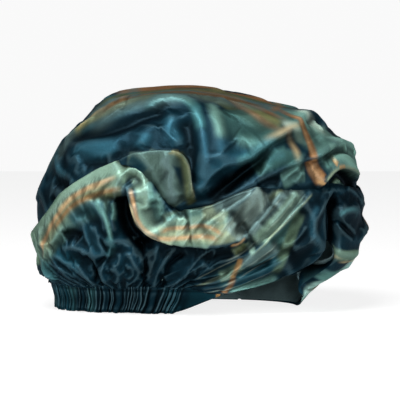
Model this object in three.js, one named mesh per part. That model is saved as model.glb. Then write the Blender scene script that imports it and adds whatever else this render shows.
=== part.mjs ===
// A soft satin turban resting on its rim: a puffed crown, a wrap panel that folds over it in an S,
// a ruched elastic band round the nape, and a dark lining that shows under the raised hem.
// Millimetres, +Z up, origin on the floor under the middle. +X is the forehead and -X the nape;
// the near side is -Y, and it carries the folds that show best.

import * as THREE from "three";

// Driving sizes
const CLOTH = 2.0; // thickness of a wall, measured along the smooth form's normal
const LINING = 1.2; // thickness of the lining
const PIECE_GAP = 0.6; // gap between the wrap and the crown, measured along a column
const BAND_GAP = 0.9; // gap in height between the band and the wrap above it
const LINING_GAP = 1.0; // gap between a wall and the lining behind it
const BAND_HEIGHT = 24; // height of the elastic casing
const PLEAT_PITCH = 3.4; // degrees from one pleat of the elastic casing to the next
const PLEAT_DEPTH = 2.2; // height of those pleats
const ELASTIC_END = 91; // degrees from the forehead where the elastic stops, on each side
const SQUARENESS = 2.3; // exponent of the cross-sections: 2 is an ellipse, more is squarer
const VIEW_ELEVATION = THREE.MathUtils.degToRad(5); // the folds are drawn as seen from this height
const SMALLEST_REACH = 6.5; // a coarse grid can't hold a fold narrower than this
const MIDDLE = { x: -0.2, y: -3.6 }; // middle of the folded form's box, which stands over the origin

// How finely the solids are faceted
const NEAR_COLUMNS = 56;
const FAR_COLUMNS = 26;
const WRAP_ROWS = 12;
const CROWN_ROWS = 13;
const LINING_ROWS = 10;

// The smooth form, as level sections from the floor to the top: height, how far the section reaches
// back and forward, and half its width.
const SECTIONS = [
  { z: 0, back: -134, front: 88, half: 64 },
  { z: 12, back: -134, front: 98, half: 67 },
  { z: 24, back: -139, front: 112, half: 74 },
  { z: 36, back: -148, front: 128, half: 82 },
  { z: 50, back: -149, front: 143, half: 89 },
  { z: 68, back: -150, front: 149, half: 94 },
  { z: 86, back: -151, front: 151, half: 96 },
  { z: 104, back: -148, front: 147, half: 96 },
  { z: 122, back: -140, front: 143, half: 94 },
  { z: 140, back: -128, front: 139, half: 90 },
  { z: 156, back: -117, front: 121, half: 83 },
  { z: 170, back: -103, front: 103, half: 73 },
  { z: 181, back: -92, front: 73, half: 61 },
  { z: 190, back: -79, front: 41, half: 46 },
  { z: 195.5, back: -48, front: 15, half: 25 },
  { z: 197.5, back: -12, front: -12, half: 0 },
];

// The bottom edge round the turban: degrees from the forehead (the near side is negative), and the
// height of the hem. On the near side it rises towards the forehead and drops again in the groove.
const HEM = [
  { angle: -180, z: 0 },
  { angle: -91, z: 0 },
  { angle: -84, z: 6 },
  { angle: -77, z: 13 },
  { angle: -69, z: 22 },
  { angle: -60, z: 28 },
  { angle: -54, z: 36 },
  { angle: -50, z: 44 },
  { angle: -45, z: 54 },
  { angle: -41, z: 67 },
  { angle: -38, z: 52 },
  { angle: -34, z: 34 },
  { angle: -27, z: 20 },
  { angle: -16, z: 9 },
  { angle: -5, z: 3 },
  { angle: 8, z: 0 },
  { angle: 180, z: 0 },
];

// The band's top edge, from one end of the band round the nape to the other.
const BAND_NEAR_END = -73;
const BAND_FAR_END = 60;
const BAND_TOP = [
  { angle: -180, z: BAND_HEIGHT },
  { angle: -90, z: BAND_HEIGHT },
  { angle: -83, z: 22 },
  { angle: BAND_NEAR_END, z: 21 },
  { angle: BAND_FAR_END, z: 6 },
  { angle: 76, z: 20 },
  { angle: 97, z: BAND_HEIGHT },
  { angle: 180, z: BAND_HEIGHT },
];

// The seam between wrap and crown as each side shows it: x, and height in that view.
const NEAR_SEAM = [
  { x: -153, v: 64 },
  { x: -149, v: 67 },
  { x: -140, v: 79 },
  { x: -125, v: 99 },
  { x: -110, v: 109 },
  { x: -90, v: 121 },
  { x: -70, v: 130 },
  { x: -58, v: 130 },
  { x: -50, v: 124 },
  { x: -42, v: 115 },
  { x: -35, v: 103 },
  { x: -28, v: 94 },
  { x: -19, v: 85 },
  { x: -10, v: 86 },
  { x: 10, v: 90 },
  { x: 30, v: 99 },
  { x: 48, v: 106 },
  { x: 90, v: 106 },
  { x: 118, v: 111 },
  { x: 148, v: 106 },
];
const FAR_SEAM = [
  { x: -149, v: 67 },
  { x: -132, v: 92 },
  { x: -100, v: 110 },
  { x: -60, v: 116 },
  { x: -20, v: 108 },
  { x: 30, v: 98 },
  { x: 80, v: 100 },
  { x: 148, v: 106 },
];

// Folds, drawn on the view of each side. The path runs through [x, height] points. Left and right
// are how far the fold reaches on either hand, looking along the path; rise is its height, negative
// for a valley; soft is 2 for a round fold and nearer 1 for a creased one.
const NEAR_FOLDS = [
  { name: "wrap edge over crown", left: 4, right: 30, rise: 8, soft: 1.5,
    path: [[-152, 58], [-137, 82], [-117, 106], [-90, 122], [-62, 135], [-40, 138], [-19, 139], [-11, 128], [-7, 110], [-1, 92]] },
  { name: "band edge over crown", left: 4, right: 30, rise: 9, soft: 1.5,
    path: [[-6, 90], [10, 90], [25, 96], [45, 107], [60, 114]] },
  { name: "lip of the S fold", left: 22, right: 3, rise: 10, soft: 1.5,
    path: [[-68, 108], [-65, 94], [-61, 84], [-52, 70], [-42, 63], [-30, 58], [-10, 57], [12, 56], [33, 59], [43, 66]] },
  { name: "cavity under the S fold", left: 8, right: 9, rise: -13, soft: 2,
    path: [[-68, 106], [-66, 86], [-62, 72], [-52, 58], [-42, 44]] },
  { name: "right limb of the S fold", left: 7, right: 7, rise: 4, soft: 2,
    path: [[-64, 124], [-52, 120], [-48, 104], [-48, 86], [-42, 75], [-30, 72]] },
  { name: "pocket beside the limb", left: 6, right: 6, rise: -6, soft: 2,
    path: [[-36, 100], [-38, 88], [-35, 79], [-25, 80]] },
  { name: "crown arch", left: 9, right: 8, rise: 7, soft: 1.7,
    path: [[-60, 172], [-45, 181], [-28, 184], [-12, 180], [-2, 170], [2, 150], [2, 128], [-1, 108], [-2, 94]] },
  { name: "valley inside the arch", left: 9, right: 9, rise: -8, soft: 2,
    path: [[-46, 166], [-26, 172], [-13, 160], [-9, 140], [-6, 118], [-4, 98]] },
  { name: "second crown ridge", left: 9, right: 9, rise: 5, soft: 2,
    path: [[4, 184], [13, 170], [19, 154], [20, 136]] },
  { name: "small ridge inside the arch", left: 6, right: 5, rise: 4, soft: 1.6,
    path: [[-30, 172], [-28, 160], [-22, 148], [-16, 138]] },
  { name: "diagonal ridge", left: 9, right: 5, rise: 8, soft: 1.6,
    path: [[-1, 92], [8, 108], [18, 121], [32, 130], [45, 136], [60, 147], [72, 153], [86, 158]] },
  { name: "valley under the diagonal", left: 8, right: 9, rise: -10, soft: 2,
    path: [[2, 90], [12, 102], [25, 113], [40, 122], [54, 134], [66, 144], [82, 149]] },
  { name: "ridge under that valley", left: 8, right: 9, rise: 4, soft: 2,
    path: [[46, 116], [58, 130], [72, 137], [86, 136]] },
  { name: "left puff", left: 15, right: 15, rise: 4, soft: 2,
    path: [[-122, 124], [-108, 138], [-90, 146], [-66, 147], [-50, 150]] },
  { name: "hollow at the left", left: 7, right: 7, rise: -7, soft: 2,
    path: [[-132, 112], [-124, 108], [-117, 106]] },
  { name: "left end ridge", left: 5, right: 5, rise: 4, soft: 1.4,
    path: [[-148, 108], [-143, 94], [-138, 78]] },
  { name: "brow edge", left: 8, right: 4, rise: 5, soft: 1.5,
    path: [[82, 128], [98, 133], [110, 139], [124, 143], [138, 139]] },
  { name: "arch over the groove", left: 8, right: 4.5, rise: 8, soft: 1.5,
    path: [[102, 106], [113, 118], [122, 123], [134, 122], [146, 111]] },
  { name: "hollow under that arch", left: 6, right: 8, rise: -8, soft: 2,
    path: [[119, 112], [128, 116], [140, 110]] },
  { name: "front groove", left: 7, right: 6, rise: -17, soft: 1.8,
    path: [[118, 104], [117, 88], [117, 70], [115, 52], [110, 34], [100, 16], [92, 6]] },
  { name: "rolled edge beside the groove", left: 5, right: 7, rise: 6, soft: 1.5,
    path: [[116, 110], [110, 92], [101, 79], [99, 69], [104, 59], [108, 52], [98, 42], [84, 33]] },
  { name: "front lobe ridge", left: 7, right: 7, rise: 4, soft: 1.6,
    path: [[120, 82], [130, 87], [146, 88]] },
  { name: "front lobe crease", left: 5, right: 5, rise: -4, soft: 1.4,
    path: [[123, 76], [132, 69], [143, 62]] },
  { name: "long pleat", left: 10, right: 5, rise: 6, soft: 1.4,
    path: [[100, 105], [80, 86], [62, 66], [46, 51], [24, 38], [2, 26], [-14, 18]] },
  { name: "pleat up to the seam", left: 9, right: 5, rise: 5, soft: 1.4,
    path: [[74, 105], [60, 92], [48, 76], [42, 66]] },
  { name: "upper pleat", left: 8, right: 5, rise: 4, soft: 1.4,
    path: [[12, 90], [2, 80], [-8, 70], [-20, 59]] },
  { name: "middle pleat", left: 8, right: 5, rise: 4, soft: 1.4,
    path: [[34, 88], [20, 76], [8, 66], [0, 58]] },
  { name: "low pleat", left: 8, right: 5, rise: 5, soft: 1.4,
    path: [[82, 48], [56, 36], [30, 27], [6, 20], [-14, 17]] },
  { name: "hem roll", left: 8, right: 5, rise: 4, soft: 1.5,
    path: [[74, 28], [50, 20], [25, 16], [0, 15], [-14, 15]] },
  { name: "gather 1", left: 6, right: 6, rise: 4, soft: 1.4,
    path: [[-90, 20], [-99, 30], [-112, 38], [-130, 50]] },
  { name: "hollow between gathers", left: 7, right: 7, rise: -7, soft: 2,
    path: [[-86, 24], [-92, 36], [-104, 44], [-116, 48]] },
  { name: "gather 2", left: 6, right: 6, rise: 5, soft: 1.4,
    path: [[-82, 26], [-83, 44], [-88, 62], [-96, 80], [-100, 96]] },
  { name: "gather 3", left: 6, right: 5, rise: 5, soft: 1.4,
    path: [[-66, 22], [-55, 31], [-62, 44], [-74, 60], [-80, 78]] },
  { name: "gather 4", left: 6, right: 6, rise: 5, soft: 1.4,
    path: [[-40, 20], [-36, 36], [-28, 48], [-18, 57]] },
  { name: "gather 5", left: 6, right: 6, rise: 3, soft: 1.4,
    path: [[-24, 24], [-12, 36], [2, 48], [14, 57]] },
];
const FAR_FOLDS = [
  { name: "far wrap edge over crown", left: 5, right: 32, rise: 7, soft: 1.5,
    path: [[-151, 60], [-132, 92], [-100, 110], [-60, 116], [-20, 108], [30, 98], [80, 100], [120, 108]] },
  { name: "far crown arch", left: 12, right: 10, rise: 6, soft: 1.8,
    path: [[-90, 140], [-66, 162], [-36, 172], [-8, 164], [10, 142], [22, 118], [26, 102]] },
  { name: "valley inside the far arch", left: 11, right: 11, rise: -7, soft: 2,
    path: [[-76, 128], [-50, 146], [-24, 148], [-6, 132], [8, 112]] },
  { name: "far diagonal ridge", left: 10, right: 7, rise: 6, soft: 1.7,
    path: [[30, 100], [48, 122], [70, 138], [96, 146], [116, 142]] },
  { name: "far diagonal valley", left: 9, right: 9, rise: -7, soft: 2,
    path: [[44, 102], [62, 120], [86, 130], [112, 130]] },
  { name: "far long pleat", left: 11, right: 6, rise: 6, soft: 1.4,
    path: [[116, 96], [84, 78], [50, 56], [18, 36], [-14, 22]] },
  { name: "far low pleat", left: 10, right: 6, rise: 5, soft: 1.4,
    path: [[126, 60], [90, 44], [50, 30], [10, 20], [-14, 18]] },
  { name: "far upper pleat", left: 10, right: 6, rise: 5, soft: 1.4,
    path: [[60, 96], [30, 74], [2, 50], [-22, 26]] },
  { name: "far gather 1", left: 8, right: 7, rise: 5, soft: 1.5,
    path: [[-46, 22], [-40, 44], [-26, 66], [-8, 86]] },
  { name: "far gather 2", left: 8, right: 7, rise: 5, soft: 1.5,
    path: [[-70, 22], [-72, 46], [-66, 70], [-56, 92]] },
  { name: "far gather 3", left: 8, right: 7, rise: 5, soft: 1.5,
    path: [[-96, 22], [-106, 42], [-108, 64], [-100, 86]] },
  { name: "far hollow", left: 8, right: 8, rise: -6, soft: 2,
    path: [[-84, 24], [-90, 42], [-90, 62]] },
];

const FADE = 0.16; // share of a fold's path over which it grows from nothing at each end
const PATH_STEPS = 28;
const SIDE_BLEND = 14; // the two sides' folds mix over this distance from the middle plane

const smoothstep = (t) => {
  const c = Math.min(1, Math.max(0, t));
  return c * c * (3 - 2 * c);
};

// A table's column as a function of its key column, straight between rows.
function lookUp(table, key, value, at) {
  const first = table[0];
  const last = table[table.length - 1];
  if (at <= first[key]) return first[value];
  if (at >= last[key]) return last[value];
  const k = table.findIndex((row) => row[key] > at);
  const low = table[k - 1];
  const high = table[k];
  return low[value] + ((high[value] - low[value]) * (at - low[key])) / (high[key] - low[key]);
}

// Height along the form's profile, counted as a length from the floor to the top.
const PROFILE = [0];
for (let k = 1; k < SECTIONS.length; k++) {
  const low = SECTIONS[k - 1];
  const high = SECTIONS[k];
  const inward = (high.front - high.back - low.front + low.back) / 2;
  PROFILE.push(PROFILE[k - 1] + Math.hypot(high.z - low.z, inward));
}
const PROFILE_TOP = PROFILE[PROFILE.length - 1];

// A smooth curve through a section column, at profile length u.
function sectionColumn(column, u) {
  const last = SECTIONS.length - 1;
  let k = 0;
  while (k < last - 1 && PROFILE[k + 1] < u) k++;
  const value = (n) => SECTIONS[n][column];
  const slope = (n) => {
    const a = Math.max(0, n - 1);
    const b = Math.min(last, n + 1);
    return (value(b) - value(a)) / (PROFILE[b] - PROFILE[a]);
  };
  const span = PROFILE[k + 1] - PROFILE[k];
  const t = (u - PROFILE[k]) / span;
  const t2 = t * t;
  const t3 = t2 * t;
  return (
    (2 * t3 - 3 * t2 + 1) * value(k) +
    (t3 - 2 * t2 + t) * span * slope(k) +
    (3 * t2 - 2 * t3) * value(k + 1) +
    (t3 - t2) * span * slope(k + 1)
  );
}

function formPoint(angle, u) {
  const back = sectionColumn("back", u);
  const front = sectionColumn("front", u);
  const half = Math.max(0, sectionColumn("half", u));
  const c = Math.cos(angle);
  const s = Math.sin(angle);
  const r = (Math.abs(c) ** SQUARENESS + Math.abs(s) ** SQUARENESS) ** (-1 / SQUARENESS);
  const x = (front + back) / 2 + ((front - back) / 2) * c * r;
  return new THREE.Vector3(x, half * s * r, sectionColumn("z", u));
}

function formNormal(angle, u) {
  const step = 1e-3;
  if (u > PROFILE_TOP - 1) return new THREE.Vector3(0, 0, 1);
  const round = formPoint(angle + step, u).sub(formPoint(angle - step, u));
  const up = formPoint(angle, u + step * 100).sub(formPoint(angle, u - step * 100));
  return round.cross(up).normalize();
}

// A point's height in the view of its own side.
const viewHeight = (p) => p.z * Math.cos(VIEW_ELEVATION) - Math.abs(p.y) * Math.sin(VIEW_ELEVATION);

function preparedFold(fold) {
  const curve = new THREE.SplineCurve(fold.path.map(([x, v]) => new THREE.Vector2(x, v)));
  return { ...fold, points: curve.getPoints(PATH_STEPS) };
}
const nearFolds = NEAR_FOLDS.map(preparedFold);
const farFolds = FAR_FOLDS.map(preparedFold);

// How high one fold stands at a place in its view.
function foldHeight(fold, x, v) {
  let nearest = Infinity;
  let along = 0;
  let hand = 1;
  for (let k = 0; k < fold.points.length - 1; k++) {
    const a = fold.points[k];
    const b = fold.points[k + 1];
    const dx = b.x - a.x;
    const dv = b.y - a.y;
    const t = Math.min(1, Math.max(0, ((x - a.x) * dx + (v - a.y) * dv) / (dx * dx + dv * dv)));
    const distance = Math.hypot(x - a.x - t * dx, v - a.y - t * dv);
    if (distance < nearest) {
      nearest = distance;
      along = (k + t) / (fold.points.length - 1);
      hand = Math.sign(dx * (v - a.y) - dv * (x - a.x));
    }
  }
  const reach = Math.max(SMALLEST_REACH, hand > 0 ? fold.left : fold.right);
  const fade = smoothstep(along / FADE) * smoothstep((1 - along) / FADE);
  return fold.rise * fade * Math.exp(-((nearest / reach) ** fold.soft));
}

// How far the cloth stands off the smooth form at a point of it.
function relief(p) {
  const v = viewHeight(p);
  const near = smoothstep(0.5 - p.y / (2 * SIDE_BLEND));
  const total = (folds) => folds.reduce((sum, fold) => sum + foldHeight(fold, p.x, v), 0);
  return (near > 0 ? near * total(nearFolds) : 0) + (near < 1 ? (1 - near) * total(farFolds) : 0);
}

// The profile length at which a rising function of u crosses zero in a column.
function crossing(isBelow) {
  let low = 0;
  let high = PROFILE_TOP;
  for (let k = 0; k < 40; k++) {
    const middle = (low + high) / 2;
    if (isBelow(middle)) low = middle;
    else high = middle;
  }
  return low;
}
const profileAtHeight = (z) => (z <= 0 ? 0 : crossing((u) => sectionColumn("z", u) < z));
const hemHeight = (angle) => lookUp(HEM, "angle", "z", THREE.MathUtils.radToDeg(angle));
const bandTop = (angle) => lookUp(BAND_TOP, "angle", "z", THREE.MathUtils.radToDeg(angle));
const seamAt = (angle) =>
  crossing((u) => {
    const p = formPoint(angle, u);
    return viewHeight(p) < lookUp(p.y < 0 ? NEAR_SEAM : FAR_SEAM, "x", "v", p.x);
  });

// The angles of the columns round the turban, closer together on the near side. The columns nearest
// the band's two ends are moved onto them.
function ringAngles() {
  const near = Array.from({ length: NEAR_COLUMNS }, (_, k) => -180 + (180 * k) / NEAR_COLUMNS);
  const far = Array.from({ length: FAR_COLUMNS }, (_, k) => (180 * k) / FAR_COLUMNS);
  const angles = [...near, ...far];
  for (const end of [BAND_NEAR_END, BAND_FAR_END]) {
    const distances = angles.map((angle) => Math.abs(angle - end));
    angles[distances.indexOf(Math.min(...distances))] = end;
  }
  return angles.map(THREE.MathUtils.degToRad);
}
const columns = ringAngles();
const bandNearEnd = THREE.MathUtils.degToRad(BAND_NEAR_END);
const bandFarEnd = THREE.MathUtils.degToRad(BAND_FAR_END);
const overBand = (angle) => angle <= bandNearEnd || angle >= bandFarEnd;

// A closed wall from a grid of outer and inner points, [column][row]. A ring joins its last column
// to its first. A wall whose last row is one point has no top edge.
function wallGeometry(outer, inner, ring) {
  const rows = outer[0].length;
  const count = outer.length;
  const pointed = outer[0][rows - 1].distanceTo(outer[1][rows - 1]) < 1e-6;
  const vertices = [...outer.flat(), ...inner.flat()];
  const out = (i, j) => (i % count) * rows + j;
  const back = (i, j) => out(i, j) + count * rows;
  const faces = [];
  const quad = (a, b, c, d) => faces.push(a, b, c, a, c, d);
  const spans = ring ? count : count - 1;
  for (let i = 0; i < spans; i++) {
    for (let j = 0; j < rows - 1; j++) {
      if (pointed && j === rows - 2) {
        faces.push(out(i, j), out(i + 1, j), out(0, j + 1));
        faces.push(back(i + 1, j), back(i, j), back(0, j + 1));
      } else {
        quad(out(i, j), out(i + 1, j), out(i + 1, j + 1), out(i, j + 1));
        quad(back(i, j), back(i, j + 1), back(i + 1, j + 1), back(i + 1, j));
      }
    }
    quad(back(i, 0), back(i + 1, 0), out(i + 1, 0), out(i, 0));
    if (!pointed) quad(out(i, rows - 1), out(i + 1, rows - 1), back(i + 1, rows - 1), back(i, rows - 1));
  }
  if (!ring) {
    const end = count - 1;
    for (let j = 0; j < rows - 1; j++) {
      quad(out(0, j), out(0, j + 1), back(0, j + 1), back(0, j));
      quad(back(end, j), back(end, j + 1), out(end, j + 1), out(end, j));
    }
  }
  const used = [...new Set(faces)].sort((a, b) => a - b);
  const place = new Map(used.map((v, k) => [v, k]));
  const geometry = new THREE.BufferGeometry();
  geometry.setAttribute(
    "position",
    new THREE.Float32BufferAttribute(used.flatMap((v) => vertices[v].toArray()), 3),
  );
  geometry.setIndex(faces.map((v) => place.get(v)));
  geometry.computeVertexNormals();
  return geometry;
}

// Columns of points standing off the form. rowsAt gives a column's lowest and highest profile
// lengths, standOff the distance from the form at a place, and levelAt the height of a row that has
// to lie level, or nothing. A crowding over 1 brings the rows closer together towards the bottom.
function grid({ angles, rows, rowsAt, crowding = 1, levelAt = () => undefined }, standOff) {
  return angles.map((angle) => {
    const [low, high] = rowsAt(angle);
    return Array.from({ length: rows + 1 }, (_, j) => {
      const u = low + (high - low) * (j / rows) ** crowding;
      const p = formPoint(angle, u);
      const placed = p.clone().addScaledVector(formNormal(angle, u), standOff(p, angle, u, j));
      placed.z = levelAt(angle, j) ?? placed.z;
      return placed;
    });
  });
}

// A wall of cloth whose outer face stands off the form, and whose inner face is one thickness in.
function clothWall({ standOff, ring = true, thickness = CLOTH, ...layout }) {
  const outer = grid(layout, standOff);
  const inner = grid(layout, (...place) => standOff(...place) - thickness);
  return wallGeometry(outer, inner, ring);
}

const satin = (color, roughness) =>
  new THREE.MeshStandardMaterial({ color, roughness, metalness: 0.1, side: THREE.DoubleSide });
const crownSatin = satin(0x2c5560, 0.35);
const wrapSatin = satin(0x7d9687, 0.38);
const bandSatin = satin(0x16333e, 0.35);
const liningSatin = satin(0x0d1114, 0.4);

function namedMesh(name, geometry, material) {
  geometry.translate(-MIDDLE.x, -MIDDLE.y, 0);
  const mesh = new THREE.Mesh(geometry, material);
  mesh.name = name;
  return mesh;
}

// The puffed crown, from the seam up to the top.
function crown() {
  const rowsAt = (angle) => [seamAt(angle) + PIECE_GAP, PROFILE_TOP];
  const geometry = clothWall({ angles: columns, rows: CROWN_ROWS, rowsAt, standOff: relief });
  return namedMesh("crown", geometry, crownSatin);
}

// The wrap panel, from the band or the hem up to the seam.
function wrapPanel() {
  const foot = (angle) => (overBand(angle) ? bandTop(angle) + BAND_GAP : hemHeight(angle));
  const geometry = clothWall({
    angles: columns,
    rows: WRAP_ROWS,
    rowsAt: (angle) => [profileAtHeight(foot(angle)), seamAt(angle)],
    standOff: relief,
    levelAt: (angle, j) => (j === 0 ? foot(angle) : undefined),
  });
  return namedMesh("wrap_panel", geometry, wrapSatin);
}

// The ruched elastic band. Each pleat has a crest and a valley; past the elastic the band is plain.
function elasticBand() {
  const halfPitch = THREE.MathUtils.degToRad(PLEAT_PITCH / 2);
  const elasticEnd = THREE.MathUtils.degToRad(ELASTIC_END);
  const sweep = 2 * Math.PI + bandNearEnd - bandFarEnd;
  const steps = 2 * Math.round(sweep / (2 * halfPitch));
  const turns = Array.from({ length: steps + 1 }, (_, k) => bandFarEnd + (sweep * k) / steps);
  const angles = turns.map((turn) => (turn > Math.PI ? turn - 2 * Math.PI : turn));
  const geometry = clothWall({
    angles,
    rows: 1,
    rowsAt: (angle) => [profileAtHeight(hemHeight(angle)), profileAtHeight(bandTop(angle))],
    standOff: (p, angle) => {
      const ruched = smoothstep((Math.abs(angle) - elasticEnd) / (3 * halfPitch) + 1);
      const crest = angles.indexOf(angle) % 2 ? 1 : -1;
      return relief(p) + (ruched * crest * PLEAT_DEPTH) / 2;
    },
    levelAt: (angle, j) => (j === 0 ? hemHeight(angle) : bandTop(angle)),
    ring: false,
  });
  return namedMesh("elastic_band", geometry, bandSatin);
}

// The lining follows the wall's inner face, and is level with the lowest of the folds near it.
function lining() {
  const foot = 3; // the lining stops this far above the hem
  const reach = { angle: THREE.MathUtils.degToRad(8), foot: 16, above: 26, tries: 4 };
  const inset = CLOTH + LINING_GAP + PLEAT_DEPTH / 2;
  const lowestNearby = (angle, u, spread) => {
    let lowest = Infinity;
    for (let i = -reach.tries; i <= reach.tries; i++) {
      for (let j = -reach.tries; j <= reach.tries; j++) {
        const nearbyU = Math.min(PROFILE_TOP, Math.max(0, u + (spread * j) / reach.tries));
        const nearbyAngle = angle + (reach.angle * i) / reach.tries;
        lowest = Math.min(lowest, relief(formPoint(nearbyAngle, nearbyU)));
      }
    }
    return lowest;
  };
  const found = new Map();
  const standOff = (p, angle, u, j) => {
    const place = j === LINING_ROWS ? "top" : `${angle} ${j}`;
    if (!found.has(place)) {
      found.set(place, lowestNearby(angle, u, j === 0 ? reach.foot : reach.above) - inset);
    }
    return found.get(place);
  };
  const geometry = clothWall({
    angles: columns.filter((_, k) => k > NEAR_COLUMNS || k % 2 === 0),
    rows: LINING_ROWS,
    rowsAt: (angle) => [profileAtHeight(hemHeight(angle) + foot), PROFILE_TOP],
    crowding: 1.4,
    standOff,
    thickness: LINING,
  });
  return namedMesh("lining", geometry, liningSatin);
}

const turban = new THREE.Group();
turban.add(crown(), wrapPanel(), elasticBand(), lining());

export default turban;
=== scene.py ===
"""The satin turban, dressed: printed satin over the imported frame, with its folds, gathers, seams and lining.

The forms are worked out in millimetres in the CAD model's frame and turned into metres at the end.
+X is the forehead, -X the nape, and the side with the S fold faces -Y.
"""

import math

import bpy
import numpy as np
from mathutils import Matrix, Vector, kdtree


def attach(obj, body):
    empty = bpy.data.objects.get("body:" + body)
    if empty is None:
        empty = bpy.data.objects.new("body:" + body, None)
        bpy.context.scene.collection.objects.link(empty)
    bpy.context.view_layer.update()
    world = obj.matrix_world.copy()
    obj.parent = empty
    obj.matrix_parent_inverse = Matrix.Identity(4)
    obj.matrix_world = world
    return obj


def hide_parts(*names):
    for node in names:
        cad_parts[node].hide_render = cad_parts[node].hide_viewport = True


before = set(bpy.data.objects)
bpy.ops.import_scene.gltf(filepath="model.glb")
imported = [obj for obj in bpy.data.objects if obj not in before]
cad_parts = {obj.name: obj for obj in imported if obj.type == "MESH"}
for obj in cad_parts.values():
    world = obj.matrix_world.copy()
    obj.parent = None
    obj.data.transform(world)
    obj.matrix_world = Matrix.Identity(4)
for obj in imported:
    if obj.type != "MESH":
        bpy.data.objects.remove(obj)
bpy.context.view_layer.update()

MM = 0.001
VIEW_ELEVATION = math.radians(5)
MIDDLE = np.array([-0.2, -3.6, 0.0])  # the CAD model's shift of the form over the origin
ENDS_DRAWN_IN = 5.0  # how far the nape and brow ends are drawn in, for the folds that stand out there
ENDS_FROM, ENDS_REACH = 108, 46  # where that starts along the turban, and over what length it comes on
FLOOR_CLEARANCE = 0.25
PATH_STEPS = 28  # straight steps in the path of a fold or stroke
FADE = 0.16  # the share of a fold's path over which each end dies away

# How finely the pieces are meshed
NEAR_COLUMNS = 420
FAR_COLUMNS = 200
GATHERED_NEAR_COLUMNS = 340
GATHERED_FAR_COLUMNS = 220
CROWN_ROWS = 140
WRAP_ROWS = 96


# Small helpers


def smoothstep(t):
    t = np.clip(t, 0.0, 1.0)
    return t * t * (3 - 2 * t)


def mix(a, b, t):
    return a + (b - a) * t


def unit(v):
    return v / np.maximum(np.linalg.norm(v, axis=-1, keepdims=True), 1e-9)


def noise(points, size, seed):
    """Smooth noise from -1 to 1 with features of about the given size."""
    q = points / size + seed * 13.37
    cell = np.floor(q).astype(np.int64)
    f = q - cell
    f = f * f * (3 - 2 * f)
    total = np.zeros(len(points))
    for dx in (0, 1):
        for dy in (0, 1):
            for dz in (0, 1):
                h = (cell[:, 0] + dx) * 374761393 + (cell[:, 1] + dy) * 668265263
                h = (h + (cell[:, 2] + dz) * 2246822519 + seed * 3266489917) & 0xFFFFFFFF
                h = ((h ^ (h >> 13)) * 1274126177) & 0xFFFFFFFF
                h = ((h ^ (h >> 16)) & 0xFFFF) / 32767.5 - 1
                wx = f[:, 0] if dx else 1 - f[:, 0]
                wy = f[:, 1] if dy else 1 - f[:, 1]
                wz = f[:, 2] if dz else 1 - f[:, 2]
                total += h * wx * wy * wz
    return total


# The smooth form, as in the CAD model: level sections, with how far each reaches back and forward
# and half its width

SECTIONS = [
    dict(z=0, back=-134, front=88, half=64),
    dict(z=12, back=-134, front=98, half=67),
    dict(z=24, back=-139, front=112, half=74),
    dict(z=36, back=-148, front=131, half=82),
    dict(z=50, back=-149, front=147, half=89),
    dict(z=68, back=-150, front=151, half=94),
    dict(z=86, back=-151, front=151, half=96),
    dict(z=104, back=-148, front=147, half=96),
    dict(z=122, back=-140, front=143, half=94),
    dict(z=140, back=-128, front=139, half=90),
    dict(z=156, back=-117, front=121, half=83),
    dict(z=170, back=-103, front=104, half=73),
    dict(z=176, back=-97.5, front=93, half=67.5),
    dict(z=181, back=-92, front=71, half=61),
    dict(z=190, back=-79, front=38, half=46),
    dict(z=195.5, back=-48, front=15, half=25),
    dict(z=197.5, back=-12, front=-12, half=0),
]
SQUARENESS = 2.3
COLUMN = {name: np.array([row[name] for row in SECTIONS], float) for name in SECTIONS[0]}

PROFILE = np.concatenate([
    [0],
    np.cumsum(np.hypot(np.diff(COLUMN["z"]), np.diff(COLUMN["front"] - COLUMN["back"]) / 2)),
])
PROFILE_TOP = PROFILE[-1]


def section_value(name, u):
    """A section column as a smooth function of the length u along the profile."""
    value = COLUMN[name]
    last = len(value) - 1
    slope = np.gradient(value, PROFILE, edge_order=1)
    for n in range(1, last):
        slope[n] = (value[n + 1] - value[n - 1]) / (PROFILE[n + 1] - PROFILE[n - 1])
    k = np.clip(np.searchsorted(PROFILE, u, side="right") - 1, 0, last - 1)
    span = PROFILE[k + 1] - PROFILE[k]
    t = (u - PROFILE[k]) / span
    t2, t3 = t * t, t * t * t
    return (
        (2 * t3 - 3 * t2 + 1) * value[k]
        + (t3 - 2 * t2 + t) * span * slope[k]
        + (3 * t2 - 2 * t3) * value[k + 1]
        + (t3 - t2) * span * slope[k + 1]
    )


def form_point(angle, u):
    back, front = section_value("back", u), section_value("front", u)
    half = np.maximum(0, section_value("half", u))
    c, s = np.cos(angle), np.sin(angle)
    r = (np.abs(c) ** SQUARENESS + np.abs(s) ** SQUARENESS) ** (-1 / SQUARENESS)
    x = (front + back) / 2 + (front - back) / 2 * c * r
    return np.stack([x, half * s * r, section_value("z", u)], axis=-1)


def form_normal(angle, u):
    around = form_point(angle + 1e-3, u) - form_point(angle - 1e-3, u)
    up = form_point(angle, np.minimum(u + 0.1, PROFILE_TOP)) - form_point(angle, np.maximum(u - 0.1, 0))
    normal = unit(np.cross(around, up))
    at_top = (u > PROFILE_TOP - 1)[..., None]
    return np.where(at_top, np.array([0.0, 0.0, 1.0]), normal)


def view_height(p):
    return p[..., 2] * math.cos(VIEW_ELEVATION) - np.abs(p[..., 1]) * math.sin(VIEW_ELEVATION)


def crossing(is_below, shape):
    """The profile length at which a rising function crosses zero, column by column."""
    low = np.zeros(shape)
    high = np.full(shape, PROFILE_TOP)
    for _ in range(40):
        middle = (low + high) / 2
        below = is_below(middle)
        low = np.where(below, middle, low)
        high = np.where(below, high, middle)
    return low


def profile_at_height(z):
    found = crossing(lambda u: section_value("z", u) < z, np.shape(z))
    return np.where(np.asarray(z) <= 0, 0.0, found)


# Edges: the hem, the band's top and the seam between wrap and crown, as in the CAD model

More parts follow.
